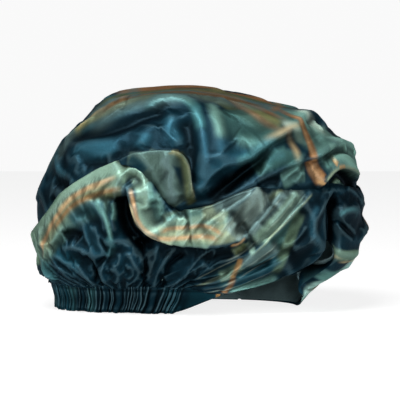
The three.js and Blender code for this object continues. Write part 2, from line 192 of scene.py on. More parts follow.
HEM = [(-180, 0), (-91, 0), (-84, 6), (-77, 13), (-69, 22), (-60, 28), (-54, 36), (-50, 44), (-45, 54),
       (-41, 67), (-38, 52), (-34, 34), (-27, 20), (-16, 9), (-5, 3), (8, 0), (180, 0)]
BAND_HEIGHT = 24
BAND_NEAR_END = -73
BAND_FAR_END = 60
BAND_TOP = [(-180, BAND_HEIGHT), (-90, BAND_HEIGHT), (-83, 22), (BAND_NEAR_END, 21), (BAND_FAR_END, 6),
            (76, 20), (97, BAND_HEIGHT), (180, BAND_HEIGHT)]
NEAR_SEAM = [(-153, 64), (-149, 67), (-140, 79), (-125, 99), (-110, 109), (-90, 121), (-70, 130), (-58, 130),
             (-50, 124), (-42, 115), (-35, 103), (-28, 94), (-19, 85), (-10, 86), (10, 90), (30, 99),
             (48, 106), (90, 106), (118, 111), (148, 106)]
FAR_SEAM = [(-149, 67), (-132, 92), (-100, 110), (-60, 116), (-20, 108), (30, 98), (80, 100), (148, 106)]


def look_up(table, at):
    keys, values = np.array(table, float).T
    return np.interp(at, keys, values)


def soften(values, times):
    """A closed row of values with its corners rounded off."""
    for _ in range(times):
        values = (np.roll(values, 1) + 2 * values + np.roll(values, -1)) / 4
    return values


def seam_at(angle):
    def below(u):
        p = form_point(angle, u)
        seam = np.where(p[..., 1] < 0, look_up(NEAR_SEAM, p[..., 0]), look_up(FAR_SEAM, p[..., 0]))
        return view_height(p) < seam

    return crossing(below, np.shape(angle))


# Views that the folds and the print are drawn in. Each gives a point's two drawing coordinates and
# the direction towards the viewer.

COS_E, SIN_E = math.cos(VIEW_ELEVATION), math.sin(VIEW_ELEVATION)
VIEWS = {
    "near": (np.array([0, -COS_E, SIN_E]), lambda p: (p[..., 0], view_height(p))),
    "far": (np.array([0, COS_E, SIN_E]), lambda p: (p[..., 0], view_height(p))),
    "top": (np.array([0, 0, 1.0]), lambda p: (p[..., 0], p[..., 1])),
    "front": (np.array([1.0, 0, 0]), lambda p: (p[..., 1], p[..., 2])),
    "back": (np.array([-1.0, 0, 0]), lambda p: (p[..., 1], p[..., 2])),
}


class Drawing:
    """Finds the place on the smooth form under a point drawn in a view."""

    def __init__(self, name):
        toward, flat = VIEWS[name]
        angle, u = np.meshgrid(
            np.linspace(-np.pi, np.pi, 500, endpoint=False),
            np.linspace(0, PROFILE_TOP - 0.5, 240),
        )
        angle, u = angle.ravel(), u.ravel()
        points, normals = form_point(angle, u), form_normal(angle, u)
        seen = normals @ toward > 0.02
        if name in ("near", "far"):
            seen &= points[:, 1] * toward[1] >= 0
        self.points, self.normals = points[seen], normals[seen]
        a, b = flat(self.points)
        self.tree = kdtree.KDTree(len(a))
        for k, (p, q) in enumerate(zip(a, b)):
            self.tree.insert((p, q, 0), k)
        self.tree.balance()

    def lift(self, path):
        """Points and normals on the form under a drawn path, smoothed along it."""
        found = [[k for _, k, _ in self.tree.find_n((a, b, 0), 4)] for a, b in path]
        points = np.array([self.points[k].mean(axis=0) for k in found])
        normals = np.array([self.normals[k].mean(axis=0) for k in found])
        for _ in range(3):
            points[1:-1] = (points[:-2] + 2 * points[1:-1] + points[2:]) / 4
            normals[1:-1] = (normals[:-2] + 2 * normals[1:-1] + normals[2:]) / 4
        return points, unit(normals)


drawings = {}


def lifted(view, path):
    if view not in drawings:
        drawings[view] = Drawing(view)
    return drawings[view].lift(spline(path))


def spline(path):
    """A smooth curve through the drawn points, as even steps of its parameter."""
    p = np.array(path, float)
    p = np.vstack([2 * p[0] - p[1], p, 2 * p[-1] - p[-2]])
    spans = len(p) - 3
    at = np.linspace(0, spans, PATH_STEPS + 1)
    k = np.minimum(at.astype(int), spans - 1)
    t = (at - k)[:, None]
    a, b, c, d = p[k], p[k + 1], p[k + 2], p[k + 3]
    return 0.5 * (2 * b + (c - a) * t + (2 * a - 5 * b + 4 * c - d) * t**2 + (3 * b - a - 3 * c + d) * t**3)


def nearest_on_path(points, path, normals):
    """For each point: its distance from a path, the share of the path it is at, its hand and the way
    to the path's left."""
    count = len(path) - 1
    best = np.full(len(points), np.inf)
    along = np.zeros(len(points))
    hand = np.ones(len(points))
    left_way = np.zeros((len(points), 3))
    for k in range(count):
        step = path[k + 1] - path[k]
        rel = points - path[k]
        t = np.clip(rel @ step / max(step @ step, 1e-9), 0, 1)
        gap = rel - t[:, None] * step
        distance = np.einsum("ij,ij->i", gap, gap)
        closer = distance < best
        left = np.cross(normals[k], step)
        left /= max(np.linalg.norm(left), 1e-9)
        best[closer] = distance[closer]
        along[closer] = (k + t[closer]) / count
        hand[closer] = np.where(gap[closer] @ left >= 0, 1.0, -1.0)
        left_way[closer] = left
    return np.sqrt(best), along, hand, left_way


def near_path(points, path, limit):
    """The numbers of the points within the path's box, grown by the limit."""
    near = (points > path.min(axis=0) - limit) & (points < path.max(axis=0) + limit)
    return np.nonzero(np.all(near, axis=1))[0]


class Fold:
    """A ridge, or a valley where rise is negative, along a path drawn in a view.

    Left and right are how far it reaches on either hand; soft is 2 for a round fold and nearer 1 for
    a creased one. A lean moves the crest that far towards the steeper side, over what lies there."""

    def __init__(self, view, path, rise, left, right, soft, lean=0.0, fade=FADE):
        self.path, self.normals = lifted(view, path)
        if view == "far":
            left, right = right, left
        self.rise, self.left, self.right = rise, left, right
        self.soft, self.lean, self.fade = soft, lean, fade

    def add_to(self, points, height, shift):
        index = near_path(points, self.path, 3.0 * max(self.left, self.right) + self.lean)
        if not len(index):
            return
        distance, along, hand, left_way = nearest_on_path(points[index], self.path, self.normals)
        fade = smoothstep(along / self.fade) * smoothstep((1 - along) / self.fade)
        steep = 1.0 if self.left < self.right else -1.0
        signed = hand * distance + steep * self.lean * fade
        reach = np.where(signed > 0, self.left, self.right)
        height[index] += self.rise * fade * np.exp(-((np.abs(signed) / reach) ** self.soft))
        if self.lean:
            spread = np.where(signed * steep > 0, 0.9 * min(self.left, self.right), 1.2 * self.lean + 2)
            push = self.lean * fade * np.exp(-((signed / spread) ** 2))
            shift[index] += (push * steep)[:, None] * left_way


class Stroke:
    """A band of the print along a path drawn in a view: its colour, half width and soft edge.

    It is laid over what is there at the given strength, and dies away towards its ends."""

    def __init__(self, view, path, colour, half, soft, strength=1.0, end_half=None, fade=0.14):
        self.path, self.normals = lifted(view, path)
        self.colour = PALETTE[colour]
        self.half, self.soft, self.strength, self.fade = half, soft, strength, fade
        self.end_half = half if end_half is None else end_half

    def paint(self, points, colours):
        index = near_path(points, self.path, max(self.half, self.end_half) + self.soft)
        if not len(index):
            return
        distance, along, _, _ = nearest_on_path(points[index], self.path, self.normals)
        half = mix(self.half, self.end_half, along)
        cover = self.strength * (1 - smoothstep((distance - half) / self.soft + 0.5))
        if self.fade:
            cover *= smoothstep(along / self.fade + 0.1) * smoothstep((1 - along) / self.fade + 0.1)
        colours[index] = mix(colours[index], self.colour, cover[:, None])


def linear(hex_colour):
    """A hex colour as linear red, green and blue."""
    parts = np.array([int(hex_colour[k:k + 2], 16) / 255 for k in (0, 2, 4)])
    return np.where(parts <= 0.04045, parts / 12.92, ((parts + 0.055) / 1.055) ** 2.4)


PALETTE = {name: linear(value) for name, value in dict(
    ink="03090e", navy="06171f", deep="0a2530", teal="143f4b", slate="1d4250", sea="38666a", aqua="67988f",
    mint="738f7e", pale="8d9c7f", cream="dccb98", sage="708c77", olive="565f3e", khaki="7d7d58",
    brown="70502c", ochre="936a3f", amber="b38a55", peach="b39d74", forest="1b3a2c", smoke="586e6b",
    steel="7b9088", lining="566a6c", moss="3b5f5a", fog="54786f", mist="839f90", puff="25505f",
    dusk="4a6058", gold="b8936a", wheat="e6c890", frost="d2e8d4", jade="7fab9c", ice="9cc4ba",
    fern="566d55", rust="8f653c", leaf="77794c",
).items()}


def drawn(make, table):
    """The folds or strokes of a table, in its order.

    A line holds a view for the lines after it, or a remark, or the values of one fold or stroke, a colon
    and its path as points of x and height in that view. Values follow the order of the class."""
    made = []
    for line in table.splitlines():
        values, _, path = line.partition(":")
        if line.startswith("#"):
            continue
        if not path:
            view = values
            continue
        plain = [word for word in values.split() if "=" not in word]
        named = dict(word.split("=") for word in values.split() if "=" in word)
        made.append(make(
            view,
            [tuple(float(number) for number in point.split(",")) for point in path.split()],
            *(float(word) if word[-1].isdigit() else word for word in plain),
            **{name: float(value) for name, value in named.items()},
        ))
    return made


# Folds of the crown

CROWN_FOLDS = drawn(Fold, """\
# the flap of the panel over the crown
near
7 3.2 26 1.5 lean=5 fade=0.1: -82,124 -67,133 -55,137 -40,138.5 -27,138.5 -18,137 -11,130 -8,120 -7,106 \
  -3,93
# the arch, and the dark valleys inside and left of it
5 13 9 1.8: -56,173 -40,181 -27,184 -14,182 -6,177 -1,166 2,152 3,136 2,120 -1,104 -2,95
-5 9 9 2: -13,171 -11,154 -9,138 -7,120 -5,104
-5 8 8 2: -118,150 -104,154 -87,156 -67,162 -43,171 -26,174
2.6 15 12 2: -120,124 -110,134 -98,141 -84,139 -70,134
1.8 8 8 2: -44,164 -48,154 -54,143
1.6 7 6 1.9: -28,174 -23,163 -19,151 -16,141
1.2 4 2.4 1.2: -37,162 -31,156 -24,149 -17,143
# right of the arch
2.8 9 8 1.9: 7,184 12,170 17,156 19,142 16,126
-1.4 8 8 2: 2,178 7,163 9,148 9,132
1.2 12 12 2: 28,152 40,147 50,152
-1.6 8 8 2: 24,144 32,138 44,141
6.5 12 5 1.6 lean=2.5: -4,96 6,114 20,125.5 36,130 51,138 63,147 78,155.5 92,160
-10 6 8 2 fade=0.3: 4,92 18,103 31,114 44,124 56,133 66,141
3.2 9 9 1.8: 50,122 62,132.5 74,137.5 84,134 93,127
2.6 4 2.4 1.2: 42,106 61,117 76,125.5 91,130.5 106,135.5 117,141
4.5 7 2.5 1.3 lean=1.5: 98,131 110,137 120,143 130,144.5 140,140 145,134
-3.5 4 4 2: 106,132 118,138 130,140 141,134
1.8 2.5 2.5 1.2: 72,111 79,119 89,125
-3.2 4.5 4.5 2: 48,107 60,112.5 71,112
1.8 3 3 1.3: 83,110 87,116 92,122
# the corner above the brow
3.5 7 5 1.5: 80,160 90,168 98,173 106,166 114,157
-2.2 4 4 1.8: 94,163 100,168 108,160
1.8 3 3 1.3: 99,174 103,164 109,156
2.4 6 5 1.5: 100,150 114,149 126,146 136,138
# the arch at the brow end
9 8 4 1.5 lean=3.5: 100,106 108,110 113,117 121,123 129,124 138,119 147,110
-9 6 7 2: 114,109 125,117 136,114 147,104
2.6 3 3 1.3: 119,109 125,114 130,113
1.6 3 3 1.4: 116,133 128,131 140,124
# the nape end
-7 7 7 2: -134,112 -125,110 -117,106
2.6 3 3 1.3: -129,136 -128.5,126 -124,119 -116,114.5 -114,106
3 3 4 1.3: -149,108 -146,103 -142,92 -138,79
-5 5 5 2: -137,100 -131,91 -132,82
1.8 3 3 1.3: -123,147 -113,156 -103,164 -92,170
1.8 4 4 1.5: -112,118 -108,126 -110,136
-2 5 5 2: -104,126 -92,128 -80,130
# within the flap
2.2 4 4 1.6: -32,134 -28,120 -26,106 -22,92
-3 5 4 1.9: -22,135 -20,120 -18,104 -16,92
2.2 3 3 1.4: -14,133 -11,122 -12,108 -13,95
1.6 3 3 1.3: -60,134 -50,128 -42,120
# the far side
far
6 12 10 1.8: -90,140 -66,162 -36,172 -8,164 10,142 22,118 26,102
-7 11 11 2: -76,128 -50,146 -24,148 -6,132 8,112
6 10 7 1.7 lean=1.5: 30,100 48,122 70,138 96,146 116,142
-7 9 9 2: 44,102 62,120 86,130 112,130
2.4 5 4 1.4: -120,122 -96,134 -70,138 -48,132
-2.6 6 6 2: -116,112 -96,122 -72,126
2.2 4 4 1.4: -60,122 -50,138 -30,152 -10,150
2.0 4 4 1.4: 34,112 30,134 22,156 6,172
-2.4 5 5 2: 44,130 38,150 24,168
2.0 4 4 1.4: 60,108 84,118 108,122 130,116
1.8 4 3 1.4: -30,112 -22,128 -8,142
2.2 5 5 1.5: 50,150 74,158 92,154
# the top
top
2.6 9 7 1.6: -84,-2 -60,8 -30,10 4,0 28,-14
-2.8 9 9 2: -76,22 -48,28 -12,22 20,8
2.2 7 6 1.5: -60,40 -24,40 12,28 44,12 70,-4
-2.2 8 8 2: 24,36 50,24 76,14 96,12
2.0 6 6 1.5: 40,46 66,34 92,28
# the nape and brow ends
back
3 6 5 1.5: -30,96 -22,116 -8,138 6,156
-3.4 7 7 2: -14,92 -6,112 8,132
3 6 6 1.5: 10,90 18,112 32,134
-2.6 6 6 2: 30,98 40,116 52,130
2.4 5 5 1.5: -54,100 -44,120 -30,142
front
3 6 5 1.5: -20,122 0,130 22,128 46,118
-3 7 7 2: -10,112 10,118 36,110
2.6 6 5 1.5: -10,142 10,148 34,144 54,130
-2.2 6 6 2: 4,134 22,138 42,132
""")

# Folds of the wrap panel

WRAP_FOLDS = drawn(Fold, """\
# the edges that stand over the crown
near
8 16 22 1.5 fade=0.1: -154,57 -140,79 -125,98 -112,107 -97,117.5 -82,125 -66,132
8 14 18 1.5 fade=0.12: -14,84 -4,86 8,89 26,96.5 43,105.5 56,110
# the tube of the S fold, with the dark cavity under it
10 20 3.5 1.5 lean=5.5 fade=0.1: -66,112 -63,100 -60,88 -56,79 -50,70.5 -42,64 -32,60 -17,57.5 0,56.5 \
  14,57 28,59 41,65
-15 7 8 2: -68,104 -67,92 -66,80 -61,68 -52,58 -42,48
4 3.5 4 1.3: -76,86 -74.5,98 -72.5,109 -67.5,118.5 -60.5,123 -53.5,122 -49.5,114 -48,102
2.2 2.5 2.5 1.2: -68.5,97 -66,105 -60,110 -57,115
3 3 3 1.3: -52,98 -52,88 -50.5,78 -44.5,71.5 -35.5,72.5 -27.5,78.5 -17.5,83
-2.5 5 5 2: -42,98 -40,88 -36,80 -30,82
2.2 3 3 1.4: -46,113 -44,100 -45,88
# the front lobe and the groove beside it
-17 7 6 1.8: 119,106 118,92 118,76 118,60 114,46 107,31 98,17 91,7
6 4 8 1.4: 118,110 115.5,99 108,89 101,77 101,65 109,54 108,46
3 5 5 1.5: 80,52 91,57 101,64
2.6 4 3 1.4: 72,28 88,36 100,43 109,51
4.5 7 7 1.7: 120,80 132,86 147,88
-4 3.5 3.5 1.5: 122,79 130,72 143,62
2.2 2.5 2.5 1.2: 123,83 133,74 144,65
2 2.5 2.5 1.2: 122,76 130,67 141,60
2.4 4 3 1.4: 132,109 142,100 147,92
2.2 4 4 1.4: 118,52 130,48 148,48
# the fan of pleats
7 10 3.5 1.3 lean=2: 102,106 90,94 76,78.5 63,64.5 48,53.5 36,41 16,28 -10,17
4 7 3 1.3 lean=1.2: 73,106 66,95 55,80.5 43,68.5 38,62
-2 3 3 1.6: 34,77 42,67 48,56
3.4 6 3 1.3 lean=1: 52,106 32,93 14,81.5 2,73
2.6 5 2.5 1.3 lean=0.8: -29,59 -20,69 -9,82
2.6 5 2.5 1.3 lean=0.8: -18,59 -6,73 6,86
3 5 2.5 1.3 lean=1: 0,57 16,70 31,84
2.6 4 2.5 1.3 lean=0.8: 10,58 22,68.5 34,78
-1.2 3.5 3.5 1.8: 22,62 32,70 40,78
2.4 3 3 1.2: 16,56 28,57.5 35,61 41,67
-3.4 5 5 1.9: 58,56 70,66 82,78 94,90
4 7 3 1.3 lean=1.2: 84,50 68,42 51,34.5 21,24 -9,16
2.6 5 2.5 1.3 lean=0.8: 50,55 34,47 17,42 2,33 -8,22
2.4 3 3 1.3: 14,55 3,49 -8,38 -16,26
2 4 2.5 1.3 lean=0.6: 80,45 61,34 42,26 18,19 -6,15
3 6 3 1.4: 78,31 56,22 34,18 12,15.5 -8,15
-2.6 4 4 1.9: 66,42 50,38 34,34 18,32
-2.4 4 4 1.9: 30,50 16,46 2,40
2 3.5 3 1.3: 60,72 68,82 80,96 86,104
-2.2 3.5 3.5 1.8: 52,72 60,82 68,92
1.8 3 3 1.3: 70,56 80,58 88,66 94,76
# gathers above the band
4.5 5 5 1.4: -134,51 -122,43 -108,34 -97,25 -90,18
3.6 4 4 1.4: -106,50 -98,48 -93.5,40 -87.5,31 -81,20
2.8 2.8 2.8 1.2: -78,60 -80.5,50 -85.5,38 -86,29 -80,21 -74,16
3.2 2.8 2.8 1.2: -66,52 -61,42 -55.5,33 -58.5,26 -66,19
2.2 2.4 2.4 1.2: -79,34 -74,35 -72,28 -75,22
2.2 2.4 2.4 1.2: -66,36 -62,37 -60,31 -65,25
2 2.4 2.4 1.2: -72,50 -72,42 -76,36
4 3.4 3 1.3: -20,56 -29.5,46 -35.5,36 -40,25 -41.5,17
2.6 3 3 1.3: -26,50 -32,41 -33,32 -29.5,24
4 4 4 1.3: 10,43 -7,35.5 -17,29 -24,22 -27,16
1.8 2.4 2.4 1.2: -146,35 -132,30 -118,24 -107,18
1.8 2.4 2.4 1.2: -140,43 -126,36 -110,28 -100,19
4 4 4 1.4: -92,99 -86,88 -82,76 -79.5,64 -79,52
2.4 2.6 2.6 1.3: -75,97 -75,88 -77,77 -74,66
2.4 3 3 1.3: -99,98 -92,90 -86,80 -84,66
-4.5 6 6 2: -122,64 -113,66 -105,62
3 4 4 1.4: -124,54 -114,54 -104,52 -98,46
3.2 4 4 1.4: -108,84 -103,74 -101,64 -95.5,53 -93,41
2.6 3.4 3.4 1.4: -94,76 -90,64 -86,54 -83,44
2.2 4 3 1.4: -146,58 -136,58 -128,64 -120,74
2.4 4 3 1.4: -62,60 -56,61 -50,56 -48,48
1.8 3 3 1.3: -44,54 -40,46 -44,36 -46,24
-5 3.4 3.4 1.4: -56,62 -51,50 -49,38 -50,26 -51,14
-4 2.6 3.2 1.4: -102,52 -95,40 -89,28 -86,16
-3.4 2.6 2.6 1.4: -90,66 -83,50 -90,36 -92,18
-4 3 3 1.4: -12,50 -24,42 -31,32 -35,18
# the far side
far
7 20 32 1.5: -151,60 -132,92 -100,110 -60,116 -20,108 30,98 80,100 120,108
6 11 6 1.4 lean=1.5: 116,96 84,78 50,56 18,36 -14,22
5 10 6 1.4 lean=1: 126,60 90,44 50,30 10,20 -14,18
5 10 6 1.4 lean=1: 60,96 30,74 2,50 -22,26
5 8 7 1.5: -46,22 -40,44 -26,66 -8,86
5 8 7 1.5: -70,22 -72,46 -66,70 -56,92
5 8 7 1.5: -96,22 -106,42 -108,64 -100,86
-6 8 8 2: -84,24 -90,42 -90,62
2.2 4 3 1.3: 90,96 62,74 36,52 10,32
2.2 4 3 1.3: 104,74 76,58 48,40 16,26
2.0 4 3 1.3: 110,44 80,34 48,24 16,16
-2.6 5 5 2: 96,84 70,66 44,48
2.2 3 3 1.3: -34,24 -26,40 -12,58 8,76
2.2 3 3 1.3: -58,24 -56,46 -46,66 -34,82
2.2 3 3 1.3: -82,26 -80,46 -84,68 -82,86
2.2 3 3 1.3: -108,24 -120,38 -128,54 -126,70
-3 5 5 2: -58,30 -50,50 -40,64
2.0 4 4 1.4: -120,84 -96,96 -66,100 -36,94
# the nape and brow ends
back
3 6 6 1.5: -40,26 -34,42 -22,58 -16,72
-3 6 6 2: -22,26 -16,42 -6,56
3 6 6 1.5: -6,26 -2,42 8,56 12,72
-3 6 6 2: 12,26 18,42 26,56
3 6 6 1.5: 28,26 36,42 42,58 42,74
2 4 4 1.4: -60,30 -50,46 -42,64
2 4 4 1.4: 50,30 58,46 60,64
front
4 9 6 1.5 lean=1.5: -30,94 -8,99 18,96 50,86
-3 8 8 2: -26,80 -4,84 20,82 48,74
4 8 6 1.5 lean=1: -30,68 -6,71 20,67 52,58
-3 8 8 2: -24,54 -2,55 22,51 46,44
3 7 6 1.5: -24,38 0,39 24,33 46,22
2 4 4 1.4: -4,100 -10,84 -20,70 -32,58
2 4 4 1.4: 22,100 14,82 0,68 -14,56
""")


def crinkles(view, count, seed, inside, way, rise=(0.35, 1.0), length=(10, 34)):
    """Small seeded creases: inside is the drawn box they start in, way their direction in degrees."""
    random = np.random.default_rng(seed)
    made = []
    for _ in range(count):
        a, b = random.uniform(*inside[0]), random.uniform(*inside[1])
        angle = math.radians(way(a, b) + random.normal(0, 14))
        reach = random.uniform(*length)
        bend = random.normal(0, 0.22)
        path = [(a, b)]
        for _ in range(3):
            a += reach / 3 * math.cos(angle)
            b += reach / 3 * math.sin(angle)
            angle += bend
            path.append((a, b))
        width = random.uniform(1.3, 3.2)
        sign = 1 if random.random() < 0.7 else -1
        height, other = sign * random.uniform(*rise), width * random.uniform(0.6, 1.2)
        made.append(Fold(view, path, height, width, other, 1.4, fade=0.35))
    return made


def toward_band(a, b):
    """Creases fan out upwards from the gathers."""
    return 90 - (a + 60) * 0.28 if a < 10 else 42


CROWN_FOLDS += crinkles(
    "near", 16, 11, ((-140, 140), (95, 185)), lambda a, b: 60 - a * 0.35, rise=(0.15, 0.5))
CROWN_FOLDS += crinkles("far", 34, 12, ((-140, 140), (110, 185)), lambda a, b: 60 - a * 0.3, rise=(0.2, 0.8))
CROWN_FOLDS += crinkles("top", 26, 13, ((-100, 90), (-55, 55)), lambda a, b: -12, rise=(0.2, 0.7))
CROWN_FOLDS += crinkles("back", 16, 14, ((-60, 60), (95, 150)), lambda a, b: 70)
CROWN_FOLDS += crinkles("front", 16, 15, ((-60, 60), (112, 150)), lambda a, b: 10)
WRAP_FOLDS += crinkles("near", 60, 21, ((-140, 10), (24, 80)), toward_band)
WRAP_FOLDS += crinkles(
    "near", 9, 22, ((0, 100), (30, 100)), lambda a, b: 42, rise=(0.2, 0.6), length=(24, 44))
WRAP_FOLDS += crinkles("near", 5, 23, ((120, 146), (45, 100)), lambda a, b: 60, rise=(0.2, 0.5))
WRAP_FOLDS += crinkles("far", 60, 24, ((-130, 0), (26, 95)), toward_band)
WRAP_FOLDS += crinkles("far", 40, 25, ((0, 130), (14, 90)), lambda a, b: 38)
WRAP_FOLDS += crinkles("back", 26, 26, ((-60, 60), (28, 70)), lambda a, b: 84)
WRAP_FOLDS += crinkles("front", 26, 27, ((-50, 60), (14, 96)), lambda a, b: 172)

# The print: bands of colour, from the ground upwards

CROWN_PRINT = drawn(Stroke, """\
# the dome above the dark band: green grounds, then the two orange stripes
near
smoke 12 14 0.75: -134,118 -126,140 -110,158 -92,174 -70,186 -36,192 8,191 52,180 86,168 118,150 138,130
olive 7 8 0.9: -106,162 -88,170 -66,179 -40,188 -10,189 14,184 34,174 54,161 72,152
sage 4 6 0.75: -108,164 -92,170 -74,177 -56,184
sea 4 6 0.6: -92,186 -78,189 -62,193 -44,196
leaf 8 9 0.85: -112,154 -100,165 -84,174 -62,184 -36,190
wheat 1.6 9 0.75 fade=0.4: -110,157 -101,166 -91,174 -79,180.5 -62,187
rust 4 6 0.9: -76,185 -58,191 -40,194 -22,196
leaf 7 8 0.9: 22,190 40,180 56,169 72,159
rust 4.5 6 0.9 end_half=3.5: -36,194 -14,195 6,193 22,189 36,179 50,168.5 62,159 72,153
rust 4 6 0.95: 6,195 24,191 43,182 65,171 80,164
gold 1.8 5 0.6: 10,191 26,186 42,175 56,164
teal 5 7 0.85: -112,154 -98,162 -82,168 -64,177 -46,183
# the dark crossing band and the blue puffs in it
navy 9 8: -122,142 -106,152 -86,157 -66,163 -44,171 -28,173
puff 8 15 0.95 fade=0.3: -112,132 -104,139 -94,142 -82,141 -72,138
puff 5 11 0.8 fade=0.3: -47,156 -50,149 -56,141
ink 5 8 0.7: -100,122 -84,128 -68,137 -52,141
navy 9 9: -148,92 -138,100 -126,108 -118,112
olive 3 7 0.5: -146,112 -138,124 -129,138
teal 3 6 0.7: -129,138 -129,126 -120,116
# the arch
sea 4.5 6: -52,178 -36,183 -18,183 -7,178 -2,168 1,154
aqua 2.4 7 0.6 fade=0.3: -44,181 -27,184 -12,181 -4,173
slate 3.5 6 0.9: 1,160 3,144 3,128 0,112 -3,98
puff 5 10 0.85 fade=0.3: -30,172 -27,162 -23,152 -18,142
ink 5 10 0.85 fade=0.3: -12,168 -11,154 -9,138 -7,120
# right of the arch
moss 17 18 0.85 fade=0.05: 24,176 38,162 54,150 74,142
fog 14 14 0.9 fade=0.05: 70,178 88,160 104,146 122,132 140,122
jade 9 12 0.85 fade=0.05: 84,174 100,162 118,150 136,138
fog 5 11 0.4 fade=0.3: 32,150 40,147 48,150
jade 4 9 0.55 fade=0.3: 8,181 13,171 17,160 19,146
slate 5 10 0.7 fade=0.3: 18,154 19,142 17,130 12,118
teal 5 9 0.7 fade=0.3: 24,142 34,136 46,136
slate 6 7 0.95: -3,104 6,116 20,126 36,131
sea 4 6 0.85: 30,128 44,134 56,142 66,149
ink 7 7: 6,94 20,105 34,117 48,127
teal 2.4 5 0.7: 46,127 60,137 72,146 80,151
moss 7 8 0.9 fade=0.08: 48,121 60,130 74,134 90,128
sea 4 8 0.6 fade=0.3: 56,128 66,134 76,135
navy 6 6: 52,110 62,114 72,113
fog 7 6 0.85 fade=0.1: 72,112 82,118 94,120
# the second stripe and the patches round it
frost 5 12 0.6 fade=0.3: 82,176 94,171 102,162 112,152
frost 4 8 0.6 fade=0.3: 70,160 80,160 88,154
mist 4 7 0.7 fade=0.3: 78,162 85,156 88,144
rust 3.4 4 0.95 fade=0.05: 61,180 70,176 79,171 88,164 94,153 97,143 99,132
gold 1.4 3.5 0.7: 76,173 86,166 92,156 96,144 99,133
wheat 0.8 10 0.85 fade=0.45: 54,146 64,151 74,156 84,160 92,162
wheat 0.8 10 0.8 fade=0.45: 76,156 79,147 83,138 87,128
rust 6 3.5 0.95 fade=0.06: 97,132 101,123 106,113
gold 4 5 0.6: 98,128 102,120 106,111
amber 2 2.5 fade=0.05: 104,113 107,109
aqua 3 4 0.8: 109,134 112,130 114,124
amber 2 2 0.9 fade=0.05: 117,136 118,131 120,126
jade 7 8 0.85 fade=0.1: 112,138 124,136 134,132 141,122
front
jade 16 14 0.8: -50,126 -30,134 -6,142 14,150
near
pale 1.4 2.5 0.9: 109,109 113,117 121,123 129,124 137,120 145,113
amber 1.6 2 0.8 fade=0.05: 121,124 126,125
ink 5 5: 116,111 126,118 136,115 146,106
sage 2.4 2.5 0.9 fade=0.05: 120,108 125,113 129,113
# the flap beside the tube
dusk 14 3.5 fade=0.05: -50,130 -40,124 -34,112 -26,98 -20,90
dusk 6 3 fade=0.05: -64,133 -48,133 -30,133 -16,130
teal 4 5 0.8: -62,132 -54,128 -48,120
smoke 4 7 0.7: -32,134 -28,120 -26,104 -22,92
olive 3.4 5 0.85 fade=0.05: -20,137 -14,128 -12,113 -10,100 -7,92
khaki 0.8 2.5 0.8 fade=0.05: -25,138 -16,133 -10,124 -8,110 -6,97
khaki 2 3 0.9 fade=0.05: -26,137 -22,137 -18,137
# the far side
far
smoke 13 14 0.75: -130,130 -110,156 -84,176 -44,190 0,192 40,182 78,166 112,150 136,130
olive 7 8 0.85: -104,162 -76,176 -40,187 0,188 38,176 70,160
ochre 3.4 5 0.85: -110,152 -84,172 -48,186 -6,190 34,180 70,162 104,144
amber 1.8 3.5 0.7: -106,142 -80,162 -46,176 -8,179 30,169 64,152
sea 6 9 0.85: -92,138 -64,156 -30,162 2,150 22,130 30,110
ink 8 10 0.8: -110,122 -74,134 -40,136 -10,124
slate 9 11 0.85: 46,116 66,132 94,138 120,130
mint 4 7 0.7: 20,150 38,144 58,146 80,152
ochre 3.4 4 0.85: 96,150 104,132 108,114
cream 2 4 0.7: 70,148 80,142 88,132
olive 5 7 0.8: 70,106 90,113 118,115
# across the top
top
smoke 16 14 0.6: -104,-34 -60,-38 -10,-40 40,-34 92,-24
brown 4.5 5 0.85: -92,-34 -58,-32 -18,-30 20,-30 60,-34
olive 7 9 0.8: -98,-14 -50,-14 0,-14 48,-12 92,-8
rust 8 8 0.85: -78,0 -40,2 0,2 44,0 76,-6
ochre 3 4.5 0.8: -86,32 -44,40 0,44 44,40 84,30
ink 6 10 0.7: -92,22 -44,26 4,28 52,28
fog 13 12 0.85: 64,6 84,8 104,8
far
fog 10 12 0.8: 64,180 84,171 104,158 122,144
top
ochre 3 4 0.55: 62,-46 70,-20 72,12 66,46
sea 5 9 0.5: -56,-42 -60,-10 -58,24 -50,50
""")

